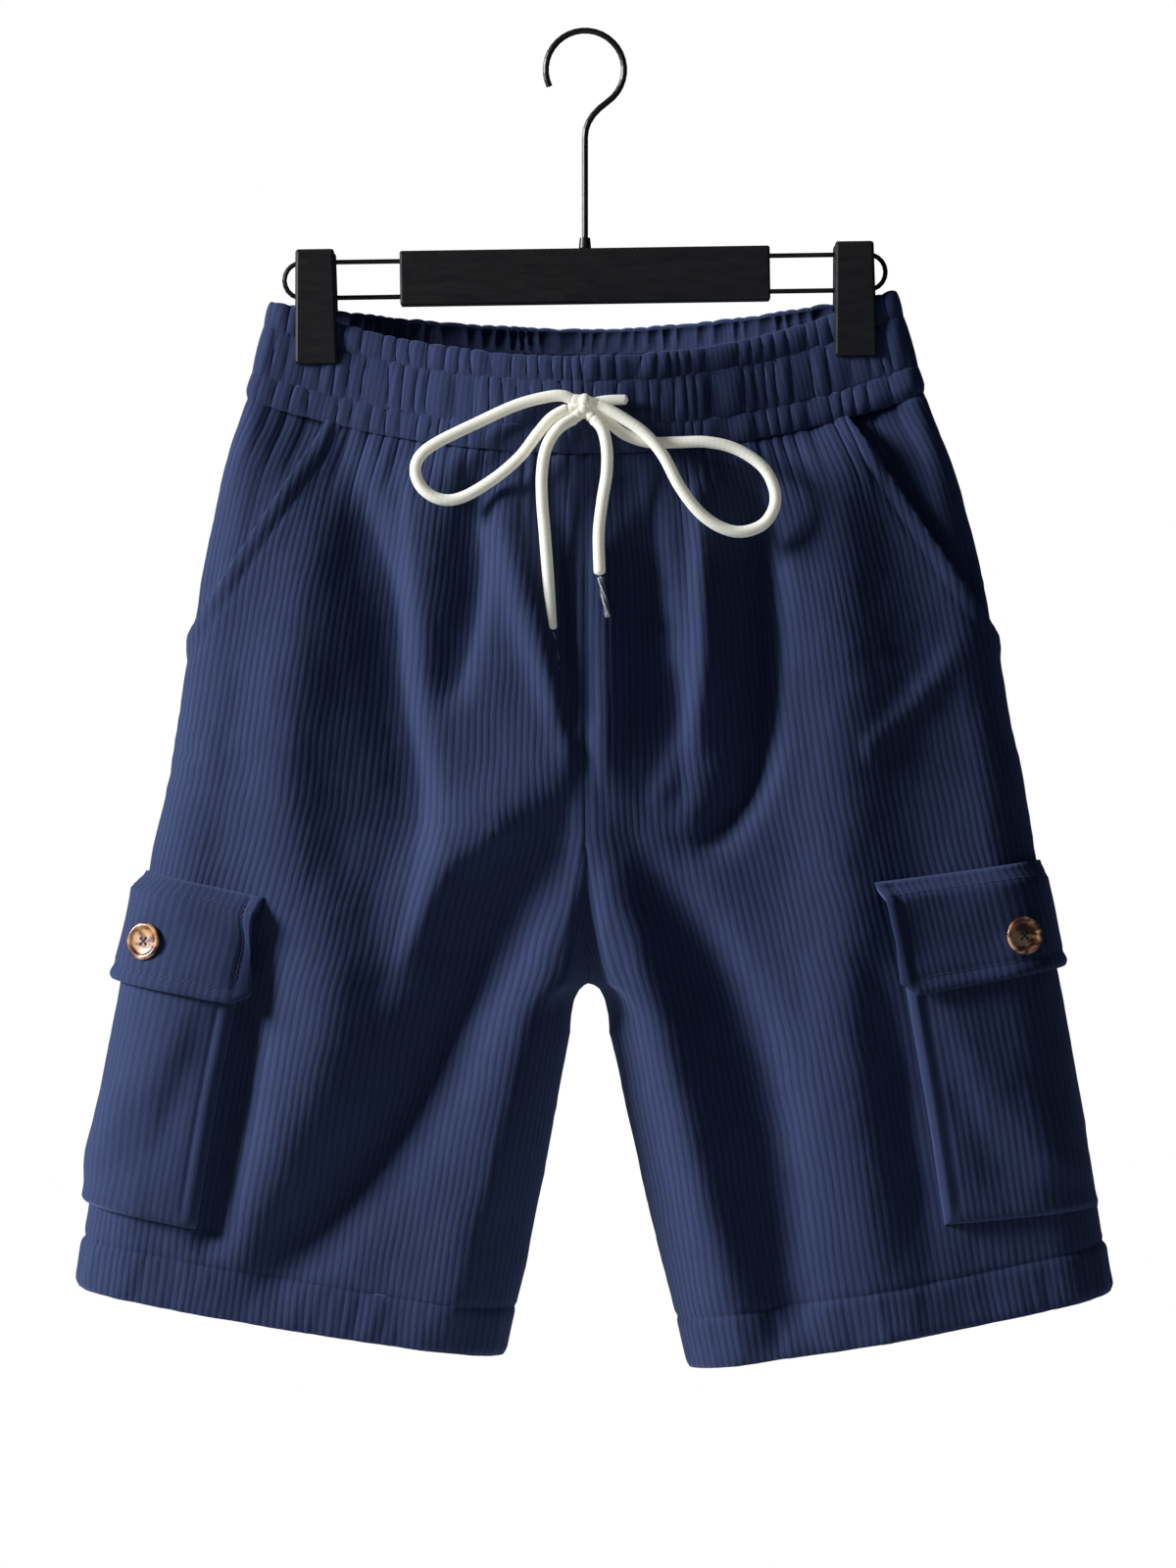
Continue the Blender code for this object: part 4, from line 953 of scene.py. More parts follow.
def cut_slant(piece, side):
    """Cuts the front away along the slant pocket's edge."""
    top, foot = slant_line(side)
    run = foot - top
    towards = Vector((run[1], 0, -run[0]))
    outer = Vector((-1 if side == "left" else 1, 0, 0.3))
    if towards.dot(outer) < 0:
        towards = -towards
    shape = bmesh.new()
    shape.from_mesh(piece.data)
    everything = shape.verts[:] + shape.edges[:] + shape.faces[:]
    bmesh.ops.bisect_plane(
        shape, geom=everything, dist=1e-6, plane_co=(top[0] * MM, 0, top[1] * MM),
        plane_no=towards, clear_outer=True)
    shape.to_mesh(piece.data)
    shape.free()


def make_facing(side, cloth):
    """Corduroy behind the slant pocket, flush at the seams and tucked under the front's edge."""
    end = level_of(side, POCKETS[side].slant_z)
    levels = even_levels(side, "front", WAIST_SEAM, end + 0.25, 4.0)
    across, phase, lengths, level, points, normals = laid_out(side, "front", levels, cloth)
    past = -slant_distance(side, points)
    start = np.array([np.interp(-20.0, past[row], across[row]) for row in range(len(levels))])
    across = np.maximum(across, start[:, None])
    phase = (1 - across) * full_length(side, "front", levels)[1][:, None] / (cloth.pitch / MM)
    points, normals = field(side, "front").at(across, level)
    past = -slant_distance(side, points)
    wale = wale_height(phase)
    near_seam = smooth_step((1 - across) * lengths[:, None] / 16.0)
    sunk = (4.4 * (1 - smooth_step((past - 4) / 26)) + 1.4 * stand_off(past - 24.0, 9.0)) * near_seam
    from_outer = (1 - across) * lengths[:, None]
    from_waist = seam_drop("front", levels, WAIST_SEAM)[:, None]
    lift = cloth.relief / MM * (wale - 0.75) - sunk - 1.0 * stand_off(from_outer, 2.2)
    drawn = gather(side, "front", across, 0.95) - 0.45
    lift = lift + 1.8 * drawn * stand_off(from_waist, 40.0) * near_seam - 0.6 * stand_off(from_waist, 3.0)
    lift = lift + crumple("front", points)
    points = points + normals * lift[..., None]
    place = cloth_place(phase, from_waist, cloth)
    piece = sheet_object(f"slant_pocket_facing_{side}", points, wale, place, side == "left")
    thicken(piece, cloth.wall / MM)
    dress(piece, finish("corduroy"), "corduroy", f"pocket_facing_{side}")
    wide = (1 - start) * lengths
    tall = from_waist[-1, 0]
    wide.max() * MM
    tall * MM
    return piece


BAND_ROWS = (0.01, 0.285, 0.30, 0.315, 0.725, 0.74, 0.755, 0.985)    # extra rows at edges and seams
BAND_FOOT = WAIST_SEAM - 0.006
BAND_HEIGHT = 52
BAND_WALL = 3.2
BAND_FULLNESS = 1.3    # cloth in the band for each length drawn in


def make_band(face, cloth):
    """Front or back of the elastic waistband, drawn into gathers and quilted in three channels."""
    rows = np.unique(np.concatenate((np.linspace(0, 1, 35), BAND_ROWS)))
    levels = rows * BAND_FOOT
    halves = []
    for side in SIDES:
        length = section_length(side, face, WAIST_SEAM)
        count = int(length / 0.95)
        across = np.linspace(0, 1, count)[None, :] * np.ones((len(levels), 1))
        level = levels[:, None] * np.ones(across.shape)
        points, normals = field(side, face).at(across, level)
        points[:, 0, 0] = 0
        phase = (1 - across) * section_length(side, face, FORK_TOP) / (cloth.pitch / MM)
        wale = wale_height(phase)
        channel = np.interp(rows, [c[0] for c in CHANNELS], [c[1] for c in CHANNELS])[:, None]
        ends = smooth_step((1 - across) * length / 7) * np.ones(across.shape)
        wave = gather(side, face, across, rows[:, None])
        lift = cloth.relief / MM * 0.5 * (wale - 0.75)
        lift = lift + 1.5 * channel * (0.4 + 0.6 * ends) - 0.6
        lift = lift + cloth.gather / MM * (wave - 0.3) * (0.3 + 0.7 * channel) * (0.25 + 0.75 * ends)
        lift = lift - 0.8 * stand_off((1 - across) * length, 2.0)
        corner = smooth_step((rows[:, None] - 0.9) / 0.1) * stand_off((1 - across) * length, 30.0)
        lift = lift - 1.7 * corner
        points = points + normals * lift[..., None]
        points[..., 2] += 0.7 * (wave - 0.5) * (1 - rows[:, None]) ** 4
        place = cloth_place(phase, rows[:, None] * BAND_HEIGHT, cloth)
        if side == "left":
            points, wale, place = points[:, :0:-1], wale[:, :0:-1], place[:, :0:-1]
        halves.append((points, wale, place))
    points, wale, place = (np.concatenate(pair, axis=1) for pair in zip(*halves))
    piece = sheet_object(f"waistband_{face}_cloth", points, wale, place, face == "back")
    thicken(piece, BAND_WALL)
    dress(piece, finish("corduroy"), "corduroy", f"waistband_{face}")
    width = sum(section_length(side, face, WAIST_SEAM) for side in SIDES) * BAND_FULLNESS
    width * MM
    return piece


def off_leg(side, reach, level):
    """Points and normals at distances from the side seam, positive towards the front."""
    points = np.empty(reach.shape + (3,))
    normals = np.empty(reach.shape + (3,))
    for face, here in (("front", reach >= 0), ("back", reach < 0)):
        lengths = np.interp(level, field(side, face).levels, field(side, face).length)
        across = 1 - np.abs(reach) / lengths
        found, turned = field(side, face).at(across, level)
        points[here] = found[here]
        normals[here] = turned[here]
    return points, normals


def eased(distance, radius):
    """Height of a quarter round, 0 at the edge and 1 from its radius inwards."""
    t = np.clip(distance / radius, 0, 1)
    return np.sqrt(np.maximum(0, 1 - (1 - t) ** 2))


EDGE_STEPS = (0, 0.25, 0.9, 1.9, 3.1, 4.4)


def cloth_reaches(front, back, pitch):
    """Distances from the side seam: four to a wale, and closer together at both edges."""
    inner = np.arange(-back + 5.6, front - 5.6, pitch / 4)
    return np.concatenate(
        ([-back + e for e in EDGE_STEPS], inner, [front - e for e in reversed(EDGE_STEPS)]))


def patch(name, side, reaches, drops, top_z, foot_z, height, cloth, wall, rake):
    """A cloth patch laid round the side seam, its height over the leg given for every point."""
    reach = np.array(reaches)[None, :] * np.ones(drops.shape)
    tall = top_z - foot_z
    table = np.linspace(-15, tall, 70)
    found = np.array([level_of(side, top_z - value) for value in table])
    level = np.interp(raked(side, reach, drops, tall, rake), table, found)
    points, normals = off_leg(side, reach, level)
    phase = reach / (cloth.pitch / MM) + 40
    wale = wale_height(phase)
    lift = height(reach, drops) + cloth.relief / MM * uneven(wale, phase, drops)
    points = points + normals * lift[..., None]
    place = cloth_place(phase, drops, cloth)
    piece = sheet_object(name, points, wale, place, side == "left")
    thicken(piece, wall)
    dress(piece, finish("corduroy"), "corduroy", name.removesuffix("_cloth"))
    return piece


def pocket_depth(side, reach):
    """How far the pocket's face stands off the leg: the right one leans back towards its side seam."""
    if side == "left":
        return POCKET_DEPTH * 0.95
    return POCKET_DEPTH * (0.5 + 0.42 * smooth_step(reach / 95.0))


def raked(side, reach, drops, tall, rake):
    """Drops of a right-hand patch whose front corners are drawn up by the given amounts at top and foot."""
    if side == "left":
        return drops
    forward = np.clip(reach / POCKET_REACH[side][0], 0, 1.05)
    return drops - forward * (rake[0] + (rake[1] - rake[0]) * np.clip(drops / tall, 0, 1))


FLAP_RAKE = (6.0, 0.0)
POCKET_RAKE = (0.0, 10.5)


def make_cargo_pocket(side, cloth):
    """Bellows pocket round the side seam: a shallow tray with its mouth open at the top."""
    pocket = POCKETS[side]
    front, back = POCKET_REACH[side]
    tall = pocket.mouth - pocket.foot
    reaches = cloth_reaches(front, back, cloth.pitch / MM)
    rows = np.concatenate((np.arange(0, tall - 6, 4.6), [tall - e for e in reversed(EDGE_STEPS)]))
    drops = rows[:, None] * np.ones((1, len(reaches)))

    def height(reach, drop):
        edge = np.minimum(front - reach, reach + back)
        foot = tall - drop
        rise = eased(edge, 6.0 if side == "left" else 3.6) * eased(foot, 6.0)
        near = np.minimum(edge, foot)
        seed = 91 if side == "left" else 97
        roll = 0.7 * stand_off(near - 2.8, 2.4) - 0.7 * stand_off(near - 8.0, 1.5)
        lean = reach + (drop - tall) * 0.62 - (-6 if side == "left" else 22)
        slump = 3.0 * stand_off(lean, 19.0) - 1.8 * stand_off(lean - 33, 15.0)
        slump = slump * smooth_step((near - 7) / 22) + 0.5 * ripple(seed, reach / 14, drop / 19)
        small = 0.2 * ripple(seed + 1, reach / 5.0, drop / 4.5)
        side_ease = -3.0 * stand_off(reach, 17.0)
        return 2.0 + (pocket_depth(side, reach) - 1.6 + roll + slump + small + side_ease) * rise

    piece = patch(
        f"cargo_pocket_{side}_cloth", side, reaches, drops, pocket.mouth, pocket.foot, height, cloth,
        cloth.wall / MM, POCKET_RAKE)
    return piece


def flap_foot(side, reach):
    """How much shorter the flap is at its cut corners."""
    front, back = flap_reach(side)
    return np.clip(FLAP_CORNER - np.minimum(front - reach, reach + back), 0, FLAP_CORNER)


def flap_reach(side):
    return POCKET_REACH[side][0] + FLAP_OVERHANG, POCKET_REACH[side][1] + FLAP_OVERHANG


def flap_height(side, reach, drop, tall):
    """How far the flap's face stands off the leg."""
    rise = smooth_step(drop / 11.0)
    front, back = flap_reach(side)
    across = np.minimum(front - reach, reach + back)
    edge = np.minimum(across, tall - flap_foot(side, reach) - drop)
    roll = 0.8 * stand_off(edge - 2.8, 2.4) - 0.8 * stand_off(edge, 0.8)
    seam = -0.7 * stand_off(edge - 8.0, 1.4) - 0.6 * stand_off(drop - 8.0, 1.3) * smooth_step(across / 8)
    wave = 0.8 * ripple(61 if side == "left" else 67, reach / 23, drop / 30) * rise
    side_ease = -3.0 * stand_off(reach, 17.0) * rise
    button = np.hypot(reach - BUTTON_OFFSET[side], drop - (tall - 24.5))
    press = -0.9 * stand_off(button, 13.0)
    press = press + 0.24 * (BUTTON_OFFSET[side] - reach) * stand_off(button, 17.0)
    lift = 1.4 * smooth_step((drop - tall + 26) / 26)
    face = 0.5 + (pocket_depth(side, reach) + 0.9) * rise + FLAP_CLOTH
    return face + roll + seam + wave + side_ease + press + lift


def make_flap(side, cloth):
    """Doubled flap over the pocket mouth, with its lower corners cut off."""
    pocket = POCKETS[side]
    tall = pocket.flap_top - pocket.flap_foot
    front, back = flap_reach(side)
    reaches = cloth_reaches(front, back, cloth.pitch / MM)
    edge = [tall - e for e in (8, 6.6, 5.2, *reversed(EDGE_STEPS))]
    rows = np.concatenate((np.arange(0, tall - 9, 2.6), edge))
    drops = rows[:, None] / tall * (tall - flap_foot(side, np.array(reaches)))[None, :]

    def height(reach, drop):
        return flap_height(side, reach, drop, tall)

    piece = patch(
        f"cargo_flap_{side}_cloth", side, reaches, drops, pocket.flap_top, pocket.flap_foot, height, cloth,
        FLAP_WALL, FLAP_RAKE)
    return piece


# ---------------------------------------------------------------- tubes

def even_route(route, spacing):
    """Points at even spacing on a smooth curve through the route's own points, in metres."""
    route = np.array(route, float)
    dense = smooth_line(route, 24)
    run = np.concatenate(((0,), np.cumsum(np.linalg.norm(np.diff(dense, axis=0), axis=1))))
    even = np.linspace(0, run[-1], max(3, int(round(run[-1] / spacing)) + 1))
    return np.column_stack([np.interp(even, run, dense[:, k]) for k in range(3)]) * MM


def tube_mesh(name, points, radius, sides, relief, strands, lay, flat=1.0):
    """A closed tube along points in metres. relief, strands and lay give its braid or twist."""
    points = np.array(points)
    run = np.concatenate(((0,), np.cumsum(np.linalg.norm(np.diff(points, axis=0), axis=1))))
    tangents = np.gradient(points, axis=0)
    tangents /= np.linalg.norm(tangents, axis=1, keepdims=True)
    across = np.cross(tangents[0], (0, -1, 0.01))
    across /= np.linalg.norm(across)
    rings, height, place = [], [], []
    angles = np.linspace(0, 2 * np.pi, sides, endpoint=False)
    total = run[-1]
    for where, tangent, length in zip(points, tangents, run):
        across = across - tangent * across.dot(tangent)
        across /= np.linalg.norm(across)
        up = np.cross(tangent, across)
        if lay == "braid":
            turned = length / radius * 3.4
            shape = np.cos(strands * angles + turned) * np.cos(strands * angles - turned)
        else:
            shape = np.cos(strands * angles + length / radius * 0.9)
        grown = radius + relief * shape
        end = min(length, total - length) / radius
        grown = grown * math.sqrt(max(0.02, 1 - max(0, 1 - end * 1.6) ** 2))
        ring = np.outer(np.cos(angles) * grown, across) + np.outer(np.sin(angles) * grown * flat, up)
        rings.append(where + ring)
        height.append(0.5 + 0.5 * shape)
        place.append(np.column_stack((angles * radius, np.full(sides, length))))
    count = len(rings)
    vertices = np.concatenate(rings + [points[:1], points[-1:]])
    first, last = count * sides, count * sides + 1
    faces = []
    for k in range(sides):
        after = (k + 1) % sides
        for start in range(0, (count - 1) * sides, sides):
            faces.append((start + k, start + after, start + after + sides, start + k + sides))
        faces.append((first, after, k))
        faces.append((last, (count - 1) * sides + k, (count - 1) * sides + after))
    mesh = bpy.data.meshes.new(name)
    mesh.from_pydata(vertices.tolist(), [], faces)
    attribute = mesh.attributes.new("strand", "FLOAT", "POINT")
    values = np.concatenate([np.concatenate(height), (0.5, 0.5)])
    attribute.data.foreach_set("value", values.astype(np.float32))
    layer = mesh.uv_layers.new(name="cord")
    loops = np.empty(len(mesh.loops), np.int32)
    mesh.loops.foreach_get("vertex_index", loops)
    spots = np.concatenate(place + [[(0, 0)], [(0, total)]])
    layer.data.foreach_set("uv", spots[loops].astype(np.float32).ravel())
    obj = linked(name, mesh)
    shape = bmesh.new()
    shape.from_mesh(mesh)
    bmesh.ops.recalc_face_normals(shape, faces=shape.faces[:])
    if shape.calc_volume(signed=True) < 0:
        bmesh.ops.reverse_faces(shape, faces=shape.faces[:])
    shape.to_mesh(mesh)
    shape.free()
    mesh.shade_smooth()
    return obj


def joined(name, pieces):
    """Several meshes as one, at the origin."""
    shape = bmesh.new()
    for piece in pieces:
        shape.from_mesh(piece.data)
    for piece in pieces:
        bpy.data.objects.remove(piece)
    obj = linked(name, mesh_of(shape, name))
    obj.data.shade_smooth()
    return obj


def make_drawcord(cord):
    """The bow: two loops, two tails, the knot's wraps, a short end and two tips."""
    radius = cord.diameter / 2
    pieces = {}
    for name, route in ROUTES.items():
        flat = 0.62 if name == "drawcord_stub" else 1.0
        size = radius * (0.86 if name == "drawcord_stub" else 1.0)
        points = even_route(route, 1.1) + BOW_SAG
        piece = tube_mesh(f"{name}_braid", points, size, 24, cord.braid, 5, "braid", flat)
        dress(piece, finish("cotton"), "drawcord", name)
        pieces[name] = (piece, points)
    centre = np.array(KNOT) * MM + BOW_SAG
    wraps = []
    for tilt, reach, tall, shift, thick in ((0.12, 5.6, 3.7, -0.6, 3.3), (-0.45, 3.0, 2.6, 3.6, 2.9)):
        angles = np.linspace(0, 2 * np.pi, 49)
        ring = np.column_stack((
            shift + np.sin(angles) * tilt * tall, np.cos(angles) * -reach, np.sin(angles) * tall)) * MM
        wraps.append(tube_mesh(f"wrap_{shift}", centre + ring, thick * MM, 20, cord.braid, 5, "braid"))
    for number, (route, thick) in enumerate(KNOT_INSIDES):
        points = even_route(route, 1.0) + BOW_SAG
        wraps.append(tube_mesh(f"inside_{number}", points, thick * MM, 24, cord.braid, 5, "braid"))
    knot = joined("drawcord_knot_wraps", wraps)
    dress(knot, finish("cotton"), "drawcord", "drawcord_knot")
    for side, ends in AGLETS.items():
        points = even_route(ends, 0.35) + BOW_SAG
        tip = tube_mesh(f"drawcord_tip_{side}", points, cord.tip / 2, 18, 0.00022, 3, "twist")
        dress(tip, finish("tip"), "aglet", f"aglet_{side}")
        pieces[f"aglet_{side}"] = (tip, points)
    for name, (piece, points) in pieces.items():
        if not name.startswith("drawcord") or name == "drawcord_stub":
            continue
        side = name.rsplit("_", 1)[1]


# ---------------------------------------------------------------- buttons

BUTTON_RADIUS, BUTTON_HEIGHT = 10.4, 3.1
HOLE_RADIUS, HOLE_OFFSET = 0.8, 1.6
BUTTON_PROFILE = (    # share of the radius and of the height, from the back's centre to the face's
    (0, 0.02), (0.55, 0), (0.8, 0.06), (0.93, 0.24), (0.985, 0.45), (1, 0.62), (0.985, 0.80),
    (0.94, 0.94), (0.88, 1.0), (0.81, 0.985), (0.75, 0.90), (0.70, 0.76), (0.66, 0.68), (0.58, 0.64),
    (0.3, 0.60), (0, 0.59))


def make_button(side):
    """Four-hole button with a raised rim and its cross of thread, lying on the flap."""
    pocket = POCKETS[side]
    tall = pocket.flap_top - pocket.flap_foot
    drop = pocket.flap_top - pocket.button
    level = np.array([[level_of(side, pocket.button)]])
    point, normal = off_leg(side, np.array([[BUTTON_OFFSET[side]]]), level)
    lift = flap_height(side, np.array([[BUTTON_OFFSET[side]]]), np.array([[float(drop)]]), tall)
    seat = Vector((point + normal * (lift + 0.15)[..., None])[0, 0]) * MM
    faced = Vector(normal[0, 0]) + Vector((0, -0.42, 0))
    turn = faced.normalized().to_track_quat("Z", "Y").to_matrix().to_4x4()
    place = Matrix.Translation(seat) @ turn
    shape = bmesh.new()
    points = [
        shape.verts.new((x * BUTTON_RADIUS * MM, 0, z * BUTTON_HEIGHT * MM)) for x, z in BUTTON_PROFILE]
    edges = [shape.edges.new(pair) for pair in zip(points, points[1:])]
    bmesh.ops.spin(
        shape, geom=points + edges, axis=(0, 0, 1), cent=(0, 0, 0), angle=2 * math.pi, steps=64,
        use_merge=True, use_duplicate=False)
    bmesh.ops.remove_doubles(shape, verts=shape.verts, dist=1e-6)
    bmesh.ops.recalc_face_normals(shape, faces=shape.faces[:])
    button = linked(f"button_{side}_shell", mesh_of(shape, f"button_{side}_shell"))
    holes = bmesh.new()
    spots = [(x * HOLE_OFFSET * MM, y * HOLE_OFFSET * MM) for x in (-1, 1) for y in (-1, 1)]
    for x, y in spots:
        bmesh.ops.create_cone(
            holes, cap_ends=True, segments=20, radius1=HOLE_RADIUS * MM, radius2=HOLE_RADIUS * MM,
            depth=0.012, matrix=Matrix.Translation((x, y, 0)))
    cutter = linked("button_holes", mesh_of(holes, "button_holes"))
    cut = button.modifiers.new("holes", "BOOLEAN")
    cut.operation = "DIFFERENCE"
    cut.solver = "EXACT"
    cut.object = cutter
    settle(button)
    bpy.data.objects.remove(cutter)
    button.data.transform(place)
    dress(button, finish("button"), "button", f"button_{side}")
    threads = []
    for number, ((ax, ay), (bx, by)) in enumerate(2 * ((spots[0], spots[3]), (spots[1], spots[2]))):
        aside = 0.2 * MM * (1 if number < 2 else -1)
        arch = [(ax * 1.05 + aside, ay * 1.05, 0.4), (ax + aside, ay, 1.75),
                (aside, 0, 2.05 + 0.2 * (number % 2)), (bx + aside, by, 1.75),
                (bx * 1.05 + aside, by * 1.05, 0.4)]
        route = [(x / MM, y / MM, z) for x, y, z in arch]
        points = even_route(route, 0.4)
        threads.append(tube_mesh(f"thread_{number}", points, 0.2 * MM, 8, 0.00002, 2, "twist"))
    cross = joined(f"button_{side}_thread", threads)
    cross.data.transform(place)
    dress(cross, finish("thread"), "button")
    return button


# ---------------------------------------------------------------- stitches

def stitch_tree():
    """Beads of thread at even steps along every path of the geometry."""
    tree = bpy.data.node_groups.new("stitches_along_paths", "GeometryNodeTree")
    sockets = (
        ("Geometry", "NodeSocketGeometry", None), ("Pitch", "NodeSocketFloat", 0.0034),
        ("Length", "NodeSocketFloat", 0.0027), ("Thread", "NodeSocketFloat", 0.0006),
        ("Seed", "NodeSocketInt", 7), ("Material", "NodeSocketMaterial", None))
    for name, kind, default in sockets:
        socket = tree.interface.new_socket(name, in_out="INPUT", socket_type=kind)
        if default is not None:
            socket.default_value = default
    tree.interface.new_socket("Geometry", in_out="OUTPUT", socket_type="NodeSocketGeometry")

    def node(kind, links=(), **settings):
        made = tree.nodes.new(kind)
        for name, value in settings.items():
            setattr(made, name, value)
        for name, value in dict(links).items():
            if isinstance(value, bpy.types.NodeSocket):
                tree.links.new(value, made.inputs[name])
            else:
                made.inputs[name].default_value = value
        return made

    given = node("NodeGroupInput").outputs
    curve = node("GeometryNodeMeshToCurve", {"Mesh": given["Geometry"]})
    even = node(
        "GeometryNodeResampleCurve", {"Curve": curve.outputs[0], "Length": given["Pitch"]}, mode="LENGTH")
    bead = node("GeometryNodeMeshUVSphere", {"Segments": 6, "Rings": 5, "Radius": 0.5})
    tangent = node("GeometryNodeInputTangent")
    turned = node("FunctionNodeAlignRotationToVector", {"Vector": tangent.outputs[0]}, axis="Z")
    vary = node("FunctionNodeRandomValue", {"Seed": given["Seed"]}, data_type="FLOAT")
    for name, value in (("Min", 0.88), ("Max", 1.1)):
        for socket in vary.inputs:
            if socket.name == name and socket.type == "VALUE":
                socket.default_value = value
    factor = next(s for s in vary.outputs if s.type == "VALUE")
    long = node("ShaderNodeMath", {0: given["Length"], 1: factor}, operation="MULTIPLY")
    size = node("ShaderNodeCombineXYZ", {0: given["Thread"], 1: given["Thread"], 2: long.outputs[0]})
    beads = node("GeometryNodeInstanceOnPoints", {
        "Points": even.outputs[0], "Instance": bead.outputs[0], "Rotation": turned.outputs[0],
        "Scale": size.outputs[0]})
    real = node("GeometryNodeRealizeInstances", {"Geometry": beads.outputs[0]})
    smooth = node("GeometryNodeSetShadeSmooth", {"Geometry": real.outputs[0]})
    dyed = node("GeometryNodeSetMaterial", {"Geometry": smooth.outputs[0], "Material": given["Material"]})
    node("NodeGroupOutput", {"Geometry": dyed.outputs[0]})
    return tree


def sewn(name, paths, stitches, tree, with_slot="corduroy"):
    """Stitches along paths, as one plain mesh."""
    vertices, edges = [], []
    for path in paths:
        start = len(vertices)
        vertices += [tuple(p) for p in path]
        edges += [(start + k, start + k + 1) for k in range(len(path) - 1)]
    mesh = bpy.data.meshes.new(name)
    mesh.from_pydata(vertices, edges, [])
    obj = linked(name, mesh)
    run = obj.modifiers.new("stitches", "NODES")
    run.node_group = tree
    values = {"Pitch": stitches.pitch, "Length": stitches.length, "Thread": stitches.thread,
              "Seed": 11, "Material": finish("thread")}
    for socket in tree.interface.items_tree:
        if socket.in_out == "INPUT" and socket.name in values:
            run[socket.identifier] = values[socket.name]
    settle(obj)
    dress(obj, finish("thread"), with_slot)
    return obj


def leg_path(side, face, across, level, lift):
    """Points in metres along fractions across and levels of one panel."""
    across, level = np.broadcast_arrays(np.array(across, float), np.array(level, float))
    points, normals = field(side, face).at(across[None, :], level[None, :])
    return (points + normals * lift)[0] * MM


def hem_levels(side, face, up):
    """Level that lies this far above the hem."""
    levels = np.linspace(THIGH, HEM, 200)
    heights = -seam_drop(face, levels, HEM)
    return float(np.interp(-up, -heights, levels))


def all_stitch_paths():
    steps = np.linspace(0.02, 0.985, 90)
    hems, bands, slants, pockets = [], [], [], []
    for side in SIDES:
        for face in ("front", "back"):
            for up in HEM_SEAMS:
                hems.append(leg_path(side, face, steps, hem_levels(side, face, up), 0.1))
            for row in CHANNEL_SEAMS:
                bands.append(leg_path(side, face, np.linspace(0.0, 0.96, 140), row * BAND_FOOT, 0.2))
        top, foot = slant_line(side)
        front = field(side, "front")
        for inside in SLANT_SEAMS:
            path = []
            for t in np.linspace(0.0, 0.97, 60):
                spot = top + (foot - top) * t
                path.append(slant_point(side, front, spot, inside))
            slants.append(path)
        pocket = POCKETS[side]
        tall = pocket.flap_top - pocket.flap_foot
        front, back = (reach - FLAP_SEAM for reach in flap_reach(side))
        foot, corner = tall - FLAP_SEAM, 6.0
        edge = ([(front, drop) for drop in np.linspace(2, foot - corner, 20)]
                + [(reach, foot) for reach in np.linspace(front - corner, corner - back, 60)]
                + [(-back, drop) for drop in np.linspace(foot - corner, 2, 20)])
        head = [(reach, FLAP_SEAM) for reach in np.linspace(front + 5, -back - 5, 70)]
        pockets += [flap_path(side, line, tall) for line in (edge, head)]
    return hems, bands, slants, pockets


def slant_point(side, front, spot, inside):
    """A point on the front this far inside the slant edge, beside the given spot of it."""
    top, foot = slant_line(side)
    run = (foot - top) / np.linalg.norm(foot - top)
    sign = -1 if side == "left" else 1
    aside = np.array((run[1], -run[0])) * sign
    x, z = spot + aside * inside
    gap = np.hypot(front.points[..., 0] - x, front.points[..., 2] - z)
    near = np.argsort(gap, axis=None)[:4]
    rows, columns = np.unravel_index(near, gap.shape)
    weight = 1 / (gap[rows, columns] + 0.05)
    y = (front.points[rows, columns, 1] * weight).sum() / weight.sum()
    rise = 2.2 * math.exp(-((inside / 12.0) ** 2))
    return (x * MM, (y - rise - 0.2) * MM, z * MM)


def flap_path(side, line, tall):
    """Points on the flap's face along pairs of a reach and a drop."""
    reach, drop = np.array(line).T
    drops = raked(side, reach, drop, tall, FLAP_RAKE)
    level = np.array([level_of(side, POCKETS[side].flap_top - d) for d in drops])
    points, normals = off_leg(side, reach[None, :], level[None, :])
    lift = flap_height(side, reach, drop, tall) + 0.15
    return (points[0] + normals[0] * lift[:, None]) * MM


# ---------------------------------------------------------------- operators

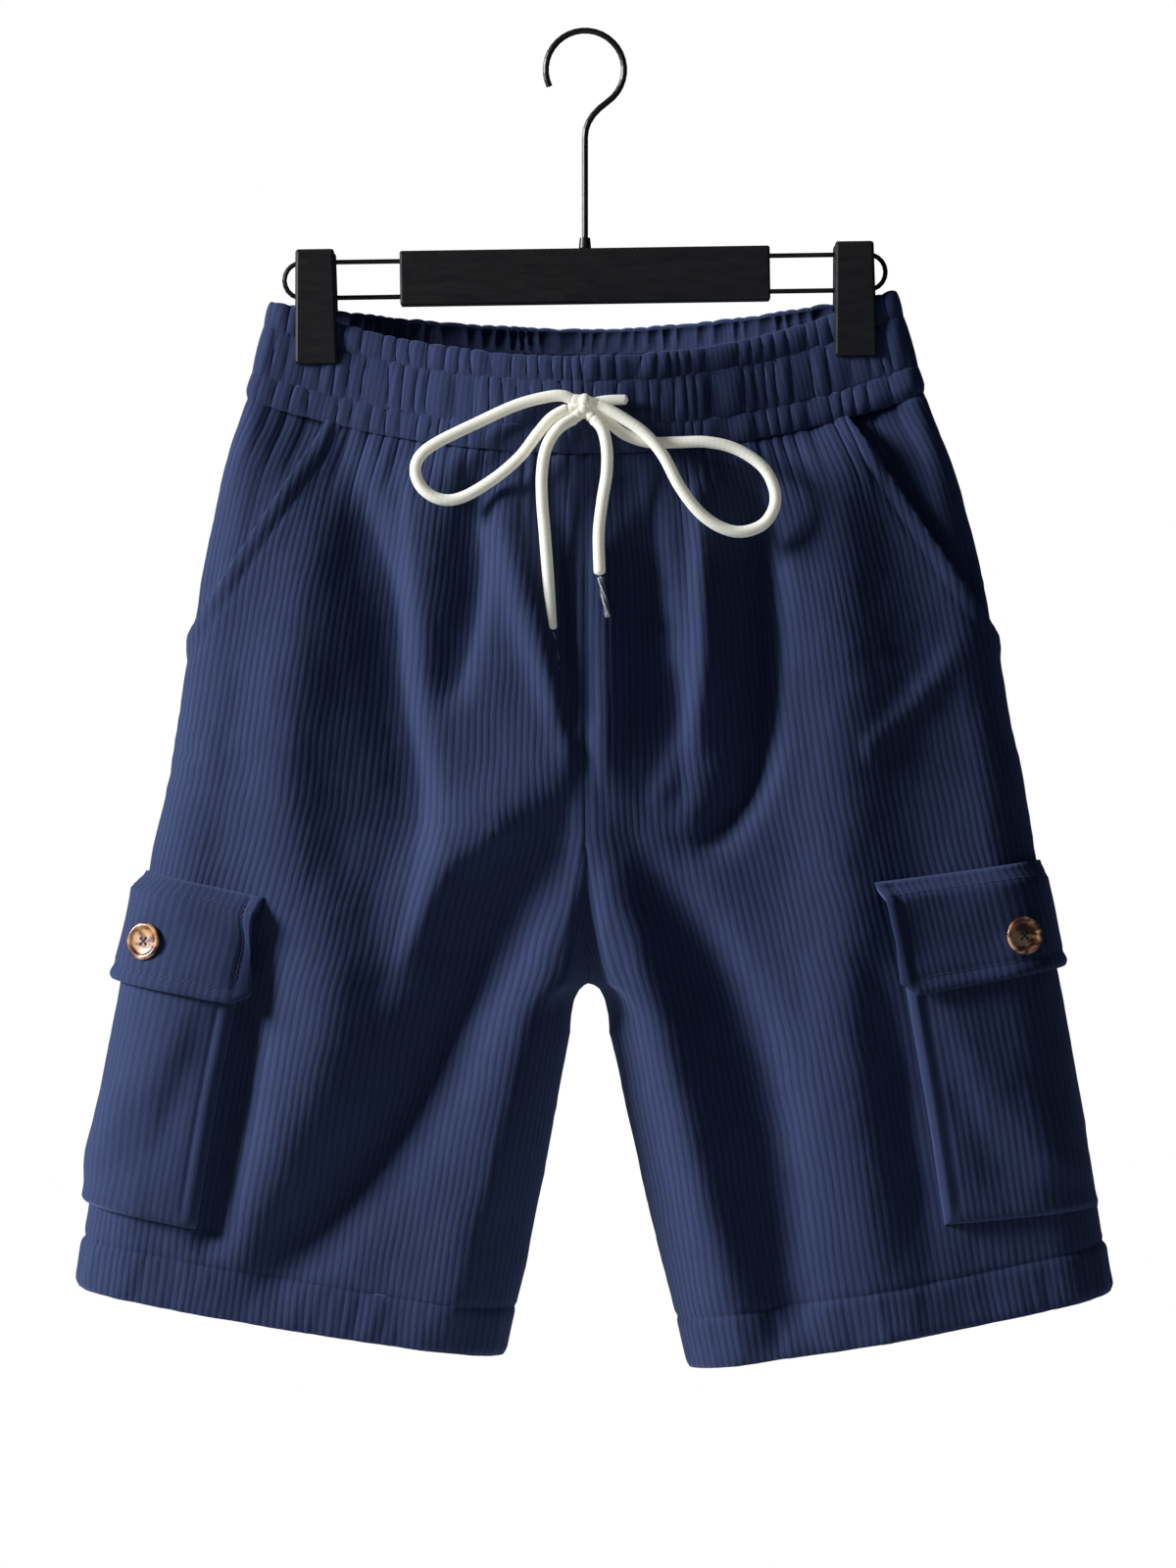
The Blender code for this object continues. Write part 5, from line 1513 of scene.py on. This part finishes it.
class SHORTS_OT_stage(bpy.types.Operator):
    """Sets the camera, the soft light and the plain floor."""

    bl_idname = "shorts.stage"
    bl_label = "Stage"

    def execute(self, context):
        settings = context.scene.shorts_stage
        camera_data = bpy.data.cameras.new("camera")
        camera_data.lens = 100
        camera_data.sensor_width = 36
        camera = linked("camera", camera_data)
        camera.location = (0.0017, -2.444, -0.421)
        camera.rotation_euler = (math.pi / 2, 0, 0)
        context.scene.camera = camera
        world = bpy.data.worlds.new("studio_white")
        context.scene.world = world
        world.use_nodes = True
        nodes, links = world.node_tree.nodes, world.node_tree.links
        nodes.clear()
        rays = nodes.new("ShaderNodeLightPath")
        mix = nodes.new("ShaderNodeMixShader")
        out = nodes.new("ShaderNodeOutputWorld")
        links.new(rays.outputs["Is Camera Ray"], mix.inputs[0])
        links.new(mix.outputs[0], out.inputs[0])
        for socket, colour, strength in ((1, (0.66, 0.76, 1.0, 1), settings.fill), (2, (1, 1, 1, 1), 1.0)):
            light = nodes.new("ShaderNodeBackground")
            light.inputs["Color"].default_value = colour
            light.inputs["Strength"].default_value = strength
            links.new(light.outputs[0], mix.inputs[socket])
        context.scene.view_settings.view_transform = "Standard"
        key = bpy.data.lights.new("key_light", "AREA")
        key.energy = settings.key
        key.shape = "SQUARE"
        key.size = 1.0
        key.color = (0.95, 0.97, 1.0)
        lamp = linked("key_light", key)
        lamp.location = (-2.85, -0.95, 0.75)
        aim = Vector((0, 0, -0.45)) - lamp.location
        lamp.rotation_euler = aim.to_track_quat("-Z", "Y").to_euler()
        self.floor(settings)
        return {"FINISHED"}

    def floor(self, settings):
        shape = bmesh.new()
        bmesh.ops.create_circle(shape, cap_ends=True, segments=128, radius=0.9)
        bmesh.ops.translate(shape, verts=shape.verts, vec=(0, 0, -1.12))
        floor = linked("studio_floor", mesh_of(shape, "studio_floor"))
        shader = Shader("pale_floor", Specular_IOR_Level=0.2)
        grain = shader.noise(shader.place("Object"), 300.0, 2.0)
        colour = shader.scaled(rgba(settings.floor), 0.99 + grain * 0.02)
        floor.data.materials.append(shader.surface(Base_Color=colour, Roughness=0.8 + grain * 0.1))


class SHORTS_OT_drawcord(bpy.types.Operator):
    """Braids the drawcord's bow and its twisted tips."""

    bl_idname = "shorts.drawcord"
    bl_label = "Drawcord"

    def execute(self, context):
        make_drawcord(context.scene.shorts_cord)
        return {"FINISHED"}


class SHORTS_OT_waistband(bpy.types.Operator):
    """Gathers the elastic waistband, front and back."""

    bl_idname = "shorts.waistband"
    bl_label = "Waistband"

    def execute(self, context):
        for face in ("front", "back"):
            make_band(face, context.scene.shorts_cloth)
        return {"FINISHED"}


class SHORTS_OT_panels(bpy.types.Operator):
    """Drapes the four leg panels."""

    bl_idname = "shorts.panels"
    bl_label = "Leg panels"

    def execute(self, context):
        for side in SIDES:
            for face in ("front", "back"):
                make_panel(side, face, context.scene.shorts_cloth)
        return {"FINISHED"}


class SHORTS_OT_pockets(bpy.types.Operator):
    """Makes the slant pockets' facings, the cargo pockets and their flaps."""

    bl_idname = "shorts.pockets"
    bl_label = "Pockets"

    def execute(self, context):
        for side in SIDES:
            make_facing(side, context.scene.shorts_cloth)
            make_cargo_pocket(side, context.scene.shorts_cloth)
            make_flap(side, context.scene.shorts_cloth)
        return {"FINISHED"}


class SHORTS_OT_buttons(bpy.types.Operator):
    """Turns the two four-hole buttons and sews them on."""

    bl_idname = "shorts.buttons"
    bl_label = "Buttons"

    def execute(self, context):
        for side in SIDES:
            make_button(side)
        return {"FINISHED"}


class SHORTS_OT_stitching(bpy.types.Operator):
    """Sews the hems, the band's channels, the slant pockets and the flaps."""

    bl_idname = "shorts.stitching"
    bl_label = "Stitching"

    def execute(self, context):
        stitches = context.scene.shorts_stitches
        tree = stitch_tree()
        hems, bands, slants, pockets = all_stitch_paths()
        sewn("hem_stitching", hems, stitches, tree)
        sewn("waistband_stitching", bands, stitches, tree)
        sewn("slant_pocket_stitching", slants, stitches, tree)
        sewn("cargo_pocket_stitching", pockets, stitches, tree)
        return {"FINISHED"}


class SHORTS_OT_hanger(bpy.types.Operator):
    """Gives the hanger's parts their satin plastic and black steel."""

    bl_idname = "shorts.hanger"
    bl_label = "Hanger finish"

    def execute(self, context):
        for name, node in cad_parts.items():
            steel = name in ("hanger_hook", "hanger_ferrule") or "wire" in name or "pivot" in name
            if not (name.startswith("hanger") or name.startswith("clip")):
                continue
            node.data.materials.clear()
            node.data.materials.append(finish("steel" if steel else "plastic"))
            node.visible_shadow = "bar" not in name
        return {"FINISHED"}


class SHORTS_PT_panel(bpy.types.Panel):
    """Lists the shorts' settings and steps."""

    bl_idname = "SHORTS_PT_panel"
    bl_label = "Corduroy Cargo Shorts"
    bl_space_type = "VIEW_3D"
    bl_region_type = "UI"
    bl_category = "Shorts"

    def draw(self, context):
        scene = context.scene
        for group in (scene.shorts_cloth, scene.shorts_cord, scene.shorts_stitches, scene.shorts_stage):
            box = self.layout.box()
            for name in group.bl_rna.properties.keys():
                if name not in ("rna_type", "name"):
                    box.prop(group, name)
        for step in STEPS:
            self.layout.operator(step.bl_idname)


GROUPS = {
    "shorts_cloth": ShortsCloth,
    "shorts_cord": ShortsCord,
    "shorts_stitches": ShortsStitches,
    "shorts_stage": ShortsStage,
}
STEPS = (
    SHORTS_OT_stage, SHORTS_OT_drawcord, SHORTS_OT_waistband, SHORTS_OT_panels, SHORTS_OT_pockets,
    SHORTS_OT_buttons, SHORTS_OT_stitching, SHORTS_OT_hanger,
)


def register():
    for kind in (*GROUPS.values(), *STEPS, SHORTS_PT_panel):
        bpy.utils.register_class(kind)
    for name, kind in GROUPS.items():
        setattr(bpy.types.Scene, name, PointerProperty(type=kind))


def unregister():
    for name in GROUPS:
        delattr(bpy.types.Scene, name)
    for kind in (*GROUPS.values(), *STEPS, SHORTS_PT_panel):
        bpy.utils.unregister_class(kind)


def main():
    register()
    for step in STEPS:
        group, name = step.bl_idname.split(".")
        getattr(getattr(bpy.ops, group), name)()


if __name__ == "__main__":
    main()
